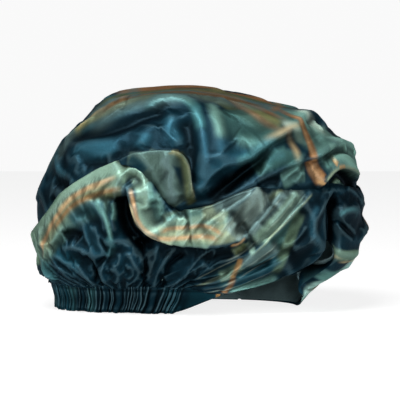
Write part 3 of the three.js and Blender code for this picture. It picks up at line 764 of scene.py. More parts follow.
WRAP_PRINT = drawn(Stroke, """\
# the arc round the nape
near
sage 7 6 fade=0.04: -151,36 -149,52 -146,68 -136,86 -122,102 -104,114 -84,124 -62,130
fog 8 15 0.8 fade=0.08: -146,34 -139,50 -130,64 -118,77 -105,87 -91,93 -78,96
mint 11 9 0.85 fade=0.08: -147,40 -142,56 -134,73 -122,89 -106,103 -86,112 -66,115
forest 2.5 3 0.6: -140,82 -131,93 -122,103
mint 5 6 0.9: -104,111 -92,117 -78,123 -64,128
mint 5.5 9 0.8: -142,44 -134,58 -127,70 -116,82 -104,91 -92,97 -78,99
olive 4 6 0.7: -104,96 -90,100 -76,101 -68,102
teal 7 9 0.8: -116,76 -106,86 -94,90 -82,90
slate 6 9 0.7: -104,74 -98,66 -92,56 -88,44
aqua 1.8 4 0.75: -91,97 -88,90 -83,82 -80,70 -79,60
aqua 1.8 4 0.7: -76,94 -75,86 -76,78
sea 3 6 0.6: -82,66 -78,56 -82,46
sea 6 9 0.75: -144,42 -137,35 -132,26
teal 8 10 0.7: -130,52 -118,44 -106,36
fog 4 11 0.6 fade=0.3: -134,56 -126,62 -118,70 -110,78
slate 4 10 0.7 fade=0.3: -128,44 -116,36 -104,30
ink 6 8 0.7: -122,64 -112,66 -104,62
khaki 5 7 0.6 fade=0.1: -140,52 -135,66 -127,78 -117,88 -106,97 -92,104 -74,108
gold 1.7 3.6 0.9: -141,44 -139,60 -134,71 -127,82 -119,91 -109,99 -96,107 -84,112 -70,116
ochre 1.9 4 0.75: -132,68 -123,80 -113,89 -103,96 -92,101 -80,104 -68,105
mist 1.2 3.5 0.6: -148,44 -144,60 -137,76 -127,90 -114,101 -100,109 -86,116
peach 2 4 0.6: -126,86 -118,93 -108,100
peach 2 4 0.6: -97,106 -90,108 -84,112
# grounds under the fan and in the cavity
smoke 13 6 fade=0.04: -34,70 -10,74 18,78 44,82 68,90 94,100
sea 9 7 0.6: 14,24 34,34 54,42 72,54 86,70
ink 8 6 fade=0.05: -67,100 -66,88 -64,76 -58,64 -48,54
ink 7 9 0.8: -50,50 -46,40 -48,28
ink 6 8 0.8: -40,52 -22,50 -2,49 16,48 30,50
# the tube
sage 6 4 0.9: -72,112 -66,119 -57,120 -52,112
mint 7 4 fade=0.05: -56,118 -50,106 -49,92 -46,80 -38,72 -26,72
fog 5 6 0.8: -40,104 -38,92 -37,84 -28,80
aqua 2.6 4 0.6: -45,112 -43,100 -43,88
forest 2 4 0.6: -61,108 -60,98 -58,90
gold 1.4 3.2 0.8: -62,106 -59,96 -56,84 -50,75 -42,68 -34,66
cream 0.9 1.6 0.8: -62,94 -58,82 -52,72 -43,65 -33,60
# the fan
mint 9 4 fade=0.05: -32,74 -20,78 -6,80 10,80 24,78
pale 8 4 fade=0.05: -36,66 -20,66 0,67 20,68 32,72
pale 5 4 0.8: 0,84 12,85 22,80
sage 2.5 3 0.8: -26,60 -10,59 8,59
gold 1.5 3 0.85: -34,69 -26,72 -12,74 0,75 12,72 20,66
gold 1.8 3 0.85: -39,65 -27,64 -12,65 4,66 16,63
smoke 4 5 0.9: 10,88 22,92 34,98 48,105
moss 2.6 5 0.75: -32,79 -22,83 -10,85 4,86
steel 9 4 0.95 fade=0.05: 26,66 36,78 46,90 58,104
smoke 5 4 0.9 fade=0.05: 40,62 50,74 62,90 70,104
navy 0.5 1.6 0.6: 14,88 24,82 33,75 42,66 47,56
mint 4.5 6 0.85: 45,62 51,64 58,70 64,80
sage 6 5 0.6 fade=0.05: 52,62 64,74 76,88 88,101
olive 2 4 0.7: 60,96 66,102 74,106
moss 7 5 fade=0.05: 44,42 58,51 72,62 84,75 93,89
navy 8 4 fade=0.05: 98,96 94,82 88,66 82,50 79,36
fern 4.6 4 0.9 fade=0.1: 89,86 82,72 76,56 70,42 66,30
pale 0.8 1.8 0.7 fade=0.05: -6,19 16,29 36,41 49,53 62,64 76,78 88,90 99,102
smoke 6 6 0.9: 36,40 48,46 60,52 70,56
olive 3.5 4 0.9: 28,50 36,55 40,60
mint 2.6 3 0.8: 40,60 44,55 46,50
amber 1 1.5 0.8: 26,57 32,59 39,64
sage 4.5 3.5 0.9 fade=0.05: 17,30 26,34 36,40
teal 6 5 0.8: 24,22 40,30 56,38 70,48
fog 4 5 0.8: 24,18 38,21 54,24 68,30
amber 1.9 2 0.95 fade=0.08: 35,46 31,37 28,30
ochre 2.2 3 0.85 fade=0.08: 29,31 26,23 21,16
amber 1.8 2.2 0.95 fade=0.05: 19,14 16,10 14,5
# pale lines along the pleats
frost 0.4 1.3 0.45 fade=0.3: -24,62 -12,72 0,82
frost 0.4 1.3 0.45 fade=0.3: -6,60 8,72 22,84
frost 0.4 1.3 0.45 fade=0.3: 8,60 24,74 36,90
frost 0.4 1.3 0.45 fade=0.3: 28,66 40,80 54,98
frost 0.4 1.3 0.45 fade=0.3: 44,66 58,82 74,102
frost 0.4 1.3 0.45 fade=0.3: 56,66 70,80 84,96
frost 0.4 1.3 0.45 fade=0.3: 20,42 38,52 56,66
frost 0.4 1.3 0.45 fade=0.3: -4,26 16,37 36,48
frost 0.4 1.3 0.45 fade=0.3: 10,24 34,36 58,50 72,62
frost 0.4 1.3 0.45 fade=0.3: 4,18 30,28 54,40 72,52
frost 0.4 1.3 0.45 fade=0.3: 0,15 26,21 52,29 74,40
frost 0.4 1.3 0.45 fade=0.3: 6,14 30,16 56,20 74,28
# the front
navy 8 5 fade=0.05: 86,34 90,48 94,64 102,84 114,104
slate 2.4 5 0.7: 104,92 98,80 98,68 104,58
navy 15 5 fade=0.04: 128,102 136,84 136,64
sea 1.8 3.5 0.8: 124,83 134,87 146,87
sea 3 3 0.85 fade=0.05: 140,82 152,82
sage 3.4 2.5 fade=0.04: 114,50 132,48 150,49
cream 1 1.5 0.85: 118,47 126,44 136,43
ice 13 4 0.95 fade=0.02: 96,2 108,14 121,25 134,32 150,36
sage 3 3 0.8: 92,2 103,12 114,19 126,26
ink 4 3 fade=0.1: 119,92 119,76 118,62 114,50 107,36 99,24
front
navy 18 9: -50,84 -16,86 20,84 54,80
sage 4 4: -60,50 -20,49 20,50 60,54
cream 1 2 0.8: -50,45 -16,44 20,45 50,48
aqua 9 6 0.85: -44,30 -10,32 20,30 50,28
ochre 2.4 3 0.75: -20,12 0,38 6,66 4,100
# the far side
far
sage 7 6 fade=0.04: -151,40 -146,66 -128,88 -100,104 -60,110 -20,102 20,92 60,92
mint 6 7 0.85: -126,66 -106,84 -70,94 -30,88 4,78 40,78
ochre 2.4 3.5 0.9: -138,62 -124,84 -98,98 -60,104 -20,96 24,86 70,86
amber 1.7 3 0.75: -120,66 -102,80 -68,88 -30,82 6,72 44,72
steel 8 7 0.85: 24,64 50,76 80,90 110,98
forest 6 6: 40,50 70,62 100,76 130,84
pale 3.4 5 0.8: 30,36 60,44 92,56 124,66
ochre 2.2 3 0.8: 30,26 64,32 98,42 126,52
aqua 7 7 0.8: 70,14 96,24 126,38
sage 4 5 0.85: 10,8 44,14 76,24
teal 9 10 0.7: -110,40 -70,46 -30,46
ochre 2.2 3 0.65: 16,6 10,36 6,66 10,96
""")

BAND_PRINT = drawn(Stroke, """\
near
sage 3.5 3 0.9 fade=0: -131,-6 -131,24
sea 7 8 0.8 fade=0: -117,-6 -117,24
sea 3.5 4 0.7 fade=0: -96,-6 -97,24
teal 6 5 0.8 fade=0: -25,-6 -25,22
teal 14 6 0.9 fade=0: 0,-6 4,20
amber 2 1.6 0.95 fade=0: 15,-6 16,20
sage 6 2.5 fade=0: 25,-6 26,20
back
teal 16 10 fade=0: -30,0 -30,24
sage 6 4 fade=0: 4,0 4,24
ochre 2.5 2.5 fade=0: 18,0 18,24
far
teal 14 8 0.8 fade=0: -80,-2 -80,24
mint 6 5 0.8 fade=0: -40,-2 -40,24
ochre 2.5 2 0.9 fade=0: -26,-2 -26,24
teal 12 8 0.9 fade=0: 10,-2 10,20
""")


# Placing the cloth


def displaced(points, normals, folds, extra=0.0):
    """The cloth's points, out along the normal by the folds' height and sideways by their lean, and the
    places on the smooth form that they come from.

    Folds on the near and far sides stand out mostly towards their viewer, so that they stay where
    they are drawn."""
    height = np.zeros(len(points))
    shift = np.zeros((len(points), 3))
    for fold in folds:
        fold.add_to(points, height, shift)
    facing = smoothstep((np.abs(normals[:, 1]) - 0.3) / 0.4)[:, None]
    way = unit(normals * mix(np.ones(3), np.array([0.5, 1.0, 0.5]), facing))
    height = height + extra
    return points + way * height[:, None] + shift, points + shift


def undulation(points, seed, size=1.0):
    """The cloth's unevenness between its folds."""
    big = noise(points, 34, seed)
    middle = noise(points, 15, seed + 1)
    small = noise(points, 6.5, seed + 2)
    return size * (0.8 * big + 0.45 * middle + 0.16 * small)


def printed(places, strokes, ground, seed):
    """The print's colour at each place, with its edges slightly unsteady, as on shifting cloth."""
    wander = np.stack([noise(places, 19, seed + k) for k in range(3)], axis=1)
    spots = places + 1.1 * wander
    colours = np.tile(PALETTE[ground], (len(places), 1))
    for stroke in strokes:
        stroke.paint(spots, colours)
    shade = 1 + 0.10 * noise(places, 23, seed + 5) + 0.06 * noise(places, 8, seed + 6)
    return colours * shade[:, None]


def with_ends_drawn_in(points):
    """The points with the nape and brow ends drawn in by as much as their folds stand out."""
    x = points[..., 0]
    nearer = x - ENDS_DRAWN_IN * np.sign(x) * smoothstep((np.abs(x) - ENDS_FROM) / ENDS_REACH)
    return np.concatenate([nearer[..., None], points[..., 1:]], axis=-1)


UV_SCALE = 0.01  # UV units for a millimetre of cloth


def grid_faces(columns, rows, closed):
    """The four corners of each face of a grid numbered column by column."""
    i, j = np.meshgrid(np.arange(columns if closed else columns - 1), np.arange(rows - 1), indexing="ij")
    here, after = i.ravel() * rows + j.ravel(), (i.ravel() + 1) % columns * rows + j.ravel()
    return np.stack([here, after, after + 1, here + 1], axis=1)


def grid_object(name, points, colours, closed, pole=False):
    """A mesh from points laid out as [column][row], with the print as a colour attribute and the
    cloth's own lengths as UVs."""
    columns, rows = points.shape[:2]
    flat = (with_ends_drawn_in(points) - MIDDLE).reshape(-1, 3) * MM
    faces = grid_faces(columns, rows, closed)
    mesh = bpy.data.meshes.new(name)
    if pole:
        tip = faces[:, 0] % rows == rows - 2
        triangles = faces[tip][:, [0, 1, 3]].copy()
        triangles[:, 2] = rows - 1
        used = np.ones(len(flat), bool)
        used[np.arange(1, columns) * rows + rows - 1] = False
        renumber = np.cumsum(used) - 1
        polygons = [list(f) for f in renumber[faces[~tip]]] + [list(f) for f in renumber[triangles]]
        mesh.from_pydata(flat[used], [], polygons)
    else:
        used = np.ones(len(flat), bool)
        mesh.from_pydata(flat, [], faces.tolist())
    mesh.update()
    attribute = mesh.color_attributes.new("print", "FLOAT_COLOR", "POINT")
    rgba = np.ones((int(used.sum()), 4))
    rgba[:, :3] = colours.reshape(-1, 3)[used]
    attribute.data.foreach_set("color", rgba.ravel())
    along = np.cumsum(np.linalg.norm(np.diff(points, axis=1, prepend=points[:, :1]), axis=2), axis=1)
    ring = points[:, rows // 3]
    around = np.cumsum(np.linalg.norm(np.diff(ring, axis=0, prepend=ring[:1]), axis=1))
    u = np.repeat(around[:, None], rows, axis=1)
    uv = np.stack([u, along], axis=2).reshape(-1, 2)[used] * UV_SCALE
    layer = mesh.uv_layers.new(name="cloth")
    corners = np.empty(len(mesh.loops), np.int64)
    mesh.loops.foreach_get("vertex_index", corners)
    layer.data.foreach_set("uv", uv[corners].ravel())
    mesh.shade_smooth()
    thing = bpy.data.objects.new(name, mesh)
    bpy.context.collection.objects.link(thing)
    return thing


def ring_angles(near, far):
    return np.concatenate([
        np.linspace(-np.pi, 0, near, endpoint=False),
        np.linspace(0, np.pi, far, endpoint=False),
    ])


def gathered_angles():
    """Angles that lie closer together over the elastic, where the puckers are."""
    start = math.radians(84)
    return np.concatenate([
        np.linspace(-np.pi, -start, GATHERED_NEAR_COLUMNS, endpoint=False),
        np.linspace(-start, 0, 160, endpoint=False),
        np.linspace(0, start, 90, endpoint=False),
        np.linspace(start, np.pi, GATHERED_FAR_COLUMNS, endpoint=False),
    ])


def sheet(angles, low, high, rows, folds, stand_off, seed, rough=1.0, spread=1.0):
    """A grid of cloth between two profile lengths of each column. Returns points, places and normals.

    A spread above 1 puts the rows closer together at the bottom."""
    t = np.linspace(0, 1, rows + 1) ** spread
    u = low[:, None] + (high - low)[:, None] * t
    angle = np.repeat(angles[:, None], rows + 1, axis=1)
    points = form_point(angle, u).reshape(-1, 3)
    normals = form_normal(angle, u).reshape(-1, 3)
    extra = stand_off(points, angle.ravel(), u.ravel()) + undulation(points, seed, rough)
    moved, places = displaced(points, normals, folds, extra)
    shape = (len(angles), rows + 1, 3)
    return moved.reshape(shape), places.reshape(shape), normals.reshape(shape)


def turned_edge(points, normals, radius, tuck, top):
    """Rows of points that carry on over an edge: round it and back inside. radius may vary by column."""
    edge = points[:, -1 if top else 0]
    inner = points[:, -4 if top else 3]
    normal = normals[:, -1 if top else 0]
    outward = unit(edge - inner)
    radius = np.broadcast_to(radius, len(edge))[:, None]
    rows = []
    for phi in np.linspace(0, np.pi, 8)[1:]:
        rows.append(edge + outward * radius * math.sin(phi) - normal * radius * (1 - math.cos(phi)))
    for step in (0.33, 0.66, 1.0):
        rows.append(rows[6] - outward * tuck * step)
    return np.stack(rows if top else rows[::-1], axis=1)


def extend(points, colours, rows, top):
    """The sheet with its turned edge added. The edge carries the colour of the row that it joins."""
    count = rows.shape[1]
    edge = colours[:, -1:] if top else colours[:, :1]
    more = np.repeat(edge, count, axis=1) * 0.9
    if top:
        return np.concatenate([points, rows], axis=1), np.concatenate([colours, more], axis=1)
    return np.concatenate([rows, points], axis=1), np.concatenate([more, colours], axis=1)


FAN_MIDDLE = 116  # degrees round from the brow, where the creases stand upright
FAN_OPENING = 0.046  # how fast they spread with height
GATHERS = ((1.9, 9, 1.4), (3.7, 22, 2.8), (8.3, 36, 4.0))  # pitch in degrees, then height and depth


def gathers(points, angle, height, seed):
    """Creases fanning out above the elastic: narrow at the stitching, fewer and wider further up."""
    degrees = np.degrees(angle)
    height = np.maximum(height, 0)
    start = FAN_MIDDLE + (np.abs(degrees) - FAN_MIDDLE) / (1 + FAN_OPENING * height)
    on_elastic = smoothstep((start - 86) / 8) * (1 - 0.6 * smoothstep((np.abs(degrees) - 158) / 14))
    side = 50 * np.sign(degrees) * smoothstep((180 - np.abs(degrees)) / 12)
    where = np.stack([start, side, height * 0.35], axis=1)
    total = np.zeros(len(points))
    for pitch, tall, deep in GATHERS:
        turn = start / pitch + 0.9 * noise(where, 4.2 * pitch, seed + int(pitch))
        crest = 1 - np.abs(np.sin(np.pi * turn)) ** 0.8
        amount = np.clip(0.55 + 0.6 * noise(where, 2.6 * pitch, seed + 7 + int(pitch)), 0.05, 1.2)
        total += deep * amount * (crest - 0.3) * np.exp(-((height / tall) ** 1.5))
    return on_elastic * total


def on_the_elastic(degrees):
    """1 where the elastic runs, round the nape, and 0 round the brow."""
    return smoothstep((np.abs(degrees) - 86) / 7)


def moving_mean(values, radius, axis, closed):
    """The mean of each value and of those within the radius along an axis."""
    v = np.moveaxis(values, axis, 0)
    wide = np.pad(v, [(radius + 1, radius)] + [(0, 0)] * (v.ndim - 1), mode="wrap" if closed else "edge")
    total = np.cumsum(wide, axis=0)
    return np.moveaxis((total[2 * radius + 1:] - total[:-2 * radius - 1]) / (2 * radius + 1), 0, axis)


CREST_TINT = np.array([0.034, 0.060, 0.068])  # the satin's blue-green where it is rubbed
DARKEST, PALEST = -1.5, 0.35  # powers of e that the print's colour is kept between


def creased(colours, points, normals, closed, small=2, large=6, rubbed=1.0, deep=0.5):
    """The print as the cloth's relief shows it: darker down in a crease, and rubbed paler along a crest."""
    found = []
    for radius in (small, large):
        level = points
        for _ in range(2):
            level = moving_mean(moving_mean(level, radius, 0, closed), radius, 1, False)
        found.append(np.einsum("ijk,ijk->ij", points - level, normals))
    fine, broad = found
    depth = np.clip(fine + deep * broad, DARKEST, PALEST)
    crest = rubbed * smoothstep((fine - 0.1) / 0.4) * (0.5 + 0.5 * smoothstep(broad / 0.6))
    crest[:, :3] = 0
    return colours * np.exp(depth)[..., None] + crest[..., None] * CREST_TINT


# Settling: the cloth is larger than the form it lies on, so it buckles into folds of its own


def doubled(values, axis, closed):
    """Values with a smooth one put between each two along an axis."""
    v = np.moveaxis(values, axis, 0)
    if closed:
        between = (-np.roll(v, 1, 0) + 9 * v + 9 * np.roll(v, -1, 0) - np.roll(v, -2, 0)) / 16
        out = np.empty((2 * len(v),) + v.shape[1:])
        out[0::2], out[1::2] = v, between
    else:
        out = np.empty((2 * len(v) - 1,) + v.shape[1:])
        out[0::2], out[1::2] = v, (v[:-1] + v[1:]) / 2
        out[3:-3:2] = (-v[:-3] + 9 * v[1:-2] + 9 * v[2:-1] - v[3:]) / 16
    return np.moveaxis(out, 0, axis)


SETTLING_SCALE = 0.01  # it runs at ten times life size
SETTLING_FRAMES = 12
SETTLING_LIMIT = 7.0
HOLD_LEVELS = 50


def settled(points, slack, pinned):
    """How far each point of a closed grid of cloth moves as its slack buckles.

    slack is how much longer the cloth is than the form, and pinned how firmly it is held, point by point.
    Every second point takes part, and those between follow smoothly."""
    coarse = points[::2, ::2]
    columns, rows = coarse.shape[:2]
    faces = grid_faces(columns, rows, closed=True)
    mesh = bpy.data.meshes.new("settling")
    mesh.from_pydata(coarse.reshape(-1, 3) * SETTLING_SCALE, [], faces.tolist())
    thing = bpy.data.objects.new("settling", mesh)
    bpy.context.collection.objects.link(thing)
    most = float(slack.max())
    for name, weights in (("held", pinned[::2, ::2]), ("taut", 1 - slack[::2, ::2] / most)):
        group = thing.vertex_groups.new(name=name)
        levels = np.round(weights.ravel() * HOLD_LEVELS).astype(int)
        for level in np.unique(levels):
            group.add(np.nonzero(levels == level)[0].tolist(), level / HOLD_LEVELS, "REPLACE")
    cloth = thing.modifiers.new("cloth", "CLOTH")
    settings = cloth.settings
    settings.quality = 5
    settings.mass = 0.3
    settings.air_damping = 4
    settings.tension_stiffness = 12
    settings.compression_stiffness = 12
    settings.shear_stiffness = 5
    settings.bending_stiffness = 0.5
    settings.vertex_group_mass = "held"
    settings.vertex_group_shrink = "taut"
    settings.shrink_min = -most
    settings.shrink_max = 0
    settings.effector_weights.gravity = 0
    cloth.collision_settings.use_collision = False
    scene = bpy.context.scene
    for number in range(1, SETTLING_FRAMES + 1):
        scene.frame_set(number)
    evaluated = thing.evaluated_get(bpy.context.evaluated_depsgraph_get())
    found = np.empty(columns * rows * 3)
    evaluated.data.vertices.foreach_get("co", found)
    moved = found.reshape(-1, 3) / SETTLING_SCALE - coarse.reshape(-1, 3)
    bpy.data.objects.remove(thing)
    scene.frame_set(1)
    length = np.linalg.norm(moved, axis=1, keepdims=True)
    moved *= SETTLING_LIMIT * np.tanh(length / SETTLING_LIMIT) / np.maximum(length, 1e-6)
    moved = moved.reshape(columns, rows, 3)
    return doubled(doubled(moved, 0, closed=True), 1, closed=False)


# The four pieces


def make_crown():
    angles = ring_angles(NEAR_COLUMNS, FAR_COLUMNS)
    seam = soften(seam_at(angles), times=6)
    tuck = 7.0  # how far the crown goes on below the seam, under the wrap

    def stand_off(points, angle, u):
        edge = np.interp(angle, angles, seam)
        into = smoothstep((edge + 5 - u) / 9)
        return -2.6 * into

    points, places, normals = sheet(angles, seam - tuck, np.full(len(angles), PROFILE_TOP), CROWN_ROWS,
                                    CROWN_FOLDS, stand_off, 31, rough=0.75)
    points[:, -1] = points[:, -1].mean(axis=0)
    rows = round(0.9 * CROWN_ROWS) // 2 * 2 + 1
    t = np.linspace(0, 1, rows)
    # held at the seam and near the top, and tauter at the brow
    hold = np.maximum(1 - smoothstep((t - 0.06) / 0.12), smoothstep((t - 0.8) / 0.16))
    away = smoothstep((np.abs(np.degrees(angles)) - 20) / 40)
    slack = np.tile((0.004 + 0.008 * away)[:, None], (1, rows))
    points[:, :rows] += settled(points[:, :rows], slack, np.tile(hold, (len(angles), 1)))
    colours = 0.68 * printed(places.reshape(-1, 3), CROWN_PRINT, "deep", 41).reshape(points.shape)
    colours = creased(colours, points, normals, closed=True, rubbed=0.45, deep=0.22)
    return grid_object("crown_satin", points, colours, closed=True, pole=True)


WRAP_SPREAD = 1.25  # the rows lie closer together over the elastic


def make_wrap():
    angles = gathered_angles()
    degrees = np.degrees(angles)
    over_band = (degrees <= BAND_NEAR_END) | (degrees >= BAND_FAR_END)
    hem = look_up(HEM, degrees)
    foot = soften(np.where(over_band, look_up(BAND_TOP, degrees), hem), times=4)
    low = profile_at_height(foot)
    seam = soften(seam_at(angles), times=6)

    def stand_off(points, angle, u):
        # the straight seam at the brow and the tube of the S fold are pinched and puckered at the edge
        edge = np.interp(angle, angles, seam)
        sewn = smoothstep((points[:, 0] - 48) / 14) * (points[:, 1] < 0)
        near_tube = smoothstep((points[:, 0] + 66) / 8) * smoothstep((-12 - points[:, 0]) / 6)
        near_tube *= points[:, 1] < 0
        pinch = np.exp(-((edge - u) / 3.5) ** 2)
        puckers = noise(points, 2.1, 51) * np.exp(-((edge - u) / 6) ** 2)
        seam_line = -1.6 * sewn * pinch - 3.6 * near_tube * pinch
        seam_line += 0.5 * sewn * puckers * (1 - 0.8 * smoothstep((points[:, 0] - 92) / 16))
        seam_line += 1.0 * near_tube * puckers
        return seam_line + gathers(points, angle, points[:, 2] - np.interp(angle, angles, foot), 61)

    points, places, normals = sheet(angles, low, seam, WRAP_ROWS, WRAP_FOLDS, stand_off, 33,
                                    spread=WRAP_SPREAD)
    t = np.linspace(0, 1, WRAP_ROWS + 1) ** WRAP_SPREAD
    # held at the hem and the seam, with the most slack above the elastic
    hold = np.maximum(1 - smoothstep(t / 0.05), smoothstep((t - 0.86) / 0.1))
    gathered = smoothstep((np.abs(degrees) - 82) / 12)[:, None] * (1 - smoothstep((t - 0.08) / 0.42))
    away = smoothstep((np.abs(degrees) - 60) / 40)[:, None]
    slack = 0.008 + 0.014 * away + 0.05 * gathered
    points = points + settled(points, slack, np.tile(hold, (len(angles), 1)))
    flatter_nape = 1 - 0.7 * smoothstep((np.abs(degrees) - 155) / 15)
    puckered = 0.7 * (0.6 + noise(points[:, 0], 3.2, 53)) * (on_the_elastic(degrees) * flatter_nape)
    points[:, 0, 2] = foot - puckered
    points[..., 2] = np.maximum(points[..., 2], FLOOR_CLEARANCE)
    colours = 0.85 * printed(places.reshape(-1, 3), WRAP_PRINT, "deep", 43).reshape(points.shape)
    colours = creased(colours, points, normals, closed=True, rubbed=0.85, deep=0.5)
    x = points[:, -1, 0]
    near = points[:, -1, 1] < 0
    # the edge turns in tightly at the brow seam and along the tube, and roundly elsewhere
    plain_end = smoothstep((x - 46) / 14)
    along_tube = smoothstep((x + 66) / 8) * smoothstep((-14 - x) / 6)
    thin = np.where(near, plain_end + along_tube, 0.2)
    radius = soften(mix(2.4, 0.5, np.clip(thin, 0, 1)), times=8)
    points, colours = extend(points, colours, turned_edge(points, normals, radius, 6, top=True), top=True)
    hem_rows = turned_edge(points, normals, 0.7, 4, top=False)
    hem_rows[..., 2] = np.maximum(hem_rows[..., 2], FLOOR_CLEARANCE)
    points, colours = extend(points, colours, hem_rows, top=False)
    return grid_object("wrap_satin", points, colours, closed=True)


PLEATS = 90


def make_band():
    sweep = 2 * np.pi + math.radians(BAND_NEAR_END - BAND_FAR_END)
    count = 1150
    rows = 26
    turns = math.radians(BAND_FAR_END) + sweep * np.linspace(0, 1, count)
    angles = np.where(turns > np.pi, turns - 2 * np.pi, turns)
    degrees = np.degrees(angles)
    low_z = look_up(HEM, degrees)
    top_z = look_up(BAND_TOP, degrees) + 0.5
    random = np.random.default_rng(71)
    # pleats of uneven width, each with its own depth and tilt
    widths = random.uniform(0.35, 1.9, PLEATS)
    marks = np.cumsum(widths) / widths.sum()
    share = np.linspace(0, 1, count)
    tilt = random.normal(0, 0.005, PLEATS)
    deep = random.uniform(0.35, 1.3, PLEATS)

    def stand_off(points, angle, u):
        t = np.tile(np.linspace(0, 1, rows + 1), count)
        s = np.repeat(share, rows + 1)
        k = np.minimum(np.searchsorted(marks, s), PLEATS - 1)
        s = s + tilt[k] * (t - 0.5) * 0.6 + 0.0006 * np.sin(t * 9 + k)
        k = np.minimum(np.searchsorted(marks, s), PLEATS - 1)
        start = np.concatenate([[0], marks])[k]
        phase = np.clip((s - start) / (marks[k] - start), 0, 1)
        # each pleat has a round crest and finer creases, and is held down near both edges
        wave = np.sin(np.pi * phase) ** 0.75 - 0.6
        fine = 0.35 * np.sin(2 * np.pi * (phase * 2 + 0.17 * k)) * (0.5 + 0.5 * np.sin(k * 2.4))
        body = 0.75 + 0.25 * np.sin(np.pi * t)
        ruched = on_the_elastic(np.degrees(angle))
        pinch = 1.0 * np.exp(-((t - 0.88) / 0.06) ** 2) + 0.5 * np.exp(-((t - 0.05) / 0.05) ** 2)
        return ruched * (2.5 * deep[k] * (wave + fine) * body + 0.2) - 0.6 * pinch - 0.3

    low, high = profile_at_height(low_z), profile_at_height(top_z)
    points, places, normals = sheet(angles, low, high, rows, [], stand_off, 35, 0.35)
    scallop = 0.3 + 1.6 * (1 + noise(points[:, 0], 3.4, 81)) * on_the_elastic(degrees)
    t = np.linspace(0, 1, rows + 1)
    foot = low_z + FLOOR_CLEARANCE + 0.5 * scallop
    points[..., 2] = foot[:, None] + (top_z - foot)[:, None] * t
    colours = 0.8 * printed(places.reshape(-1, 3), BAND_PRINT, "deep", 45).reshape(points.shape)
    colours = creased(colours, points, normals, closed=False, small=3, large=8, rubbed=2.0, deep=0.9)
    points, colours = extend(points, colours, turned_edge(points, normals, 0.8, 4, top=True), top=True)
    foot_rows = turned_edge(points, normals, 0.8, 5, top=False)
    foot_rows[..., 2] = np.maximum(foot_rows[..., 2], FLOOR_CLEARANCE)
    points, colours = extend(points, colours, foot_rows, top=False)
    return grid_object("band_satin", points, colours, closed=False)


LINING_FOLDS = (
    drawn(Fold, """\
far
2 5 4 1.5: 118,44 90,34 60,22 34,8
2 5 4 1.5: 104,24 84,20 60,12 40,4
2 5 4 1.5: 128,60 104,56 76,46 48,40
2 5 4 1.5: 60,46 50,30 46,12
2 5 4 1.5: 84,52 78,36 66,18
2 5 4 1.5: 30,40 24,24 24,6
""")
    + crinkles("far", 50, 91, ((-130, 130), (6, 80)), lambda a, b: 60, rise=(0.5, 1.6))
    + crinkles("near", 30, 92, ((-130, 130), (20, 90)), lambda a, b: 80, rise=(0.5, 1.4))
    + crinkles("top", 30, 93, ((-90, 80), (-50, 50)), lambda a, b: 10, rise=(0.5, 1.4))
)


def make_lining():
    angles = ring_angles(230, 230)
    degrees = np.degrees(angles)
    hem = look_up(HEM, degrees)
    low = profile_at_height(soften(hem + 0.6, times=3))

    def behind(points):
        """How far the deep valleys of the outer cloth push in."""
        valleys = np.zeros(len(points))
        for fold in CROWN_FOLDS + WRAP_FOLDS:
            if fold.rise < -4:
                fold.add_to(points, valleys, np.zeros_like(points))
        return valleys

    def stand_off(points, angle, u):
        inset = 3.4 + 3.0 * smoothstep((u - 20) / 60)
        return np.minimum(behind(points), 0) - inset - 4.0 * smoothstep((u - 60) / 60)

    high = np.full(len(angles), PROFILE_TOP)
    points, _, normals = sheet(angles, low, high, 150, LINING_FOLDS, stand_off, 37, 0.9)
    points[:, -1] = points[:, -1].mean(axis=0)
    points[..., 2] = np.maximum(points[..., 2], 0.5)
    ground = printed(points.reshape(-1, 3), [], "lining", 47).reshape(points.shape)
    colours = creased(ground, points, normals, closed=True)
    return grid_object("lining_satin", points, colours, closed=True, pole=True)


# Materials


def node(tree, kind, **values):
    """A shader node with its settings and inputs, an input's spaces given as underscores."""
    made = tree.nodes.new(kind)
    for name, value in values.items():
        if hasattr(made, name):
            setattr(made, name, value)
        else:
            made.inputs[name.replace("_", " ")].default_value = value
    return made


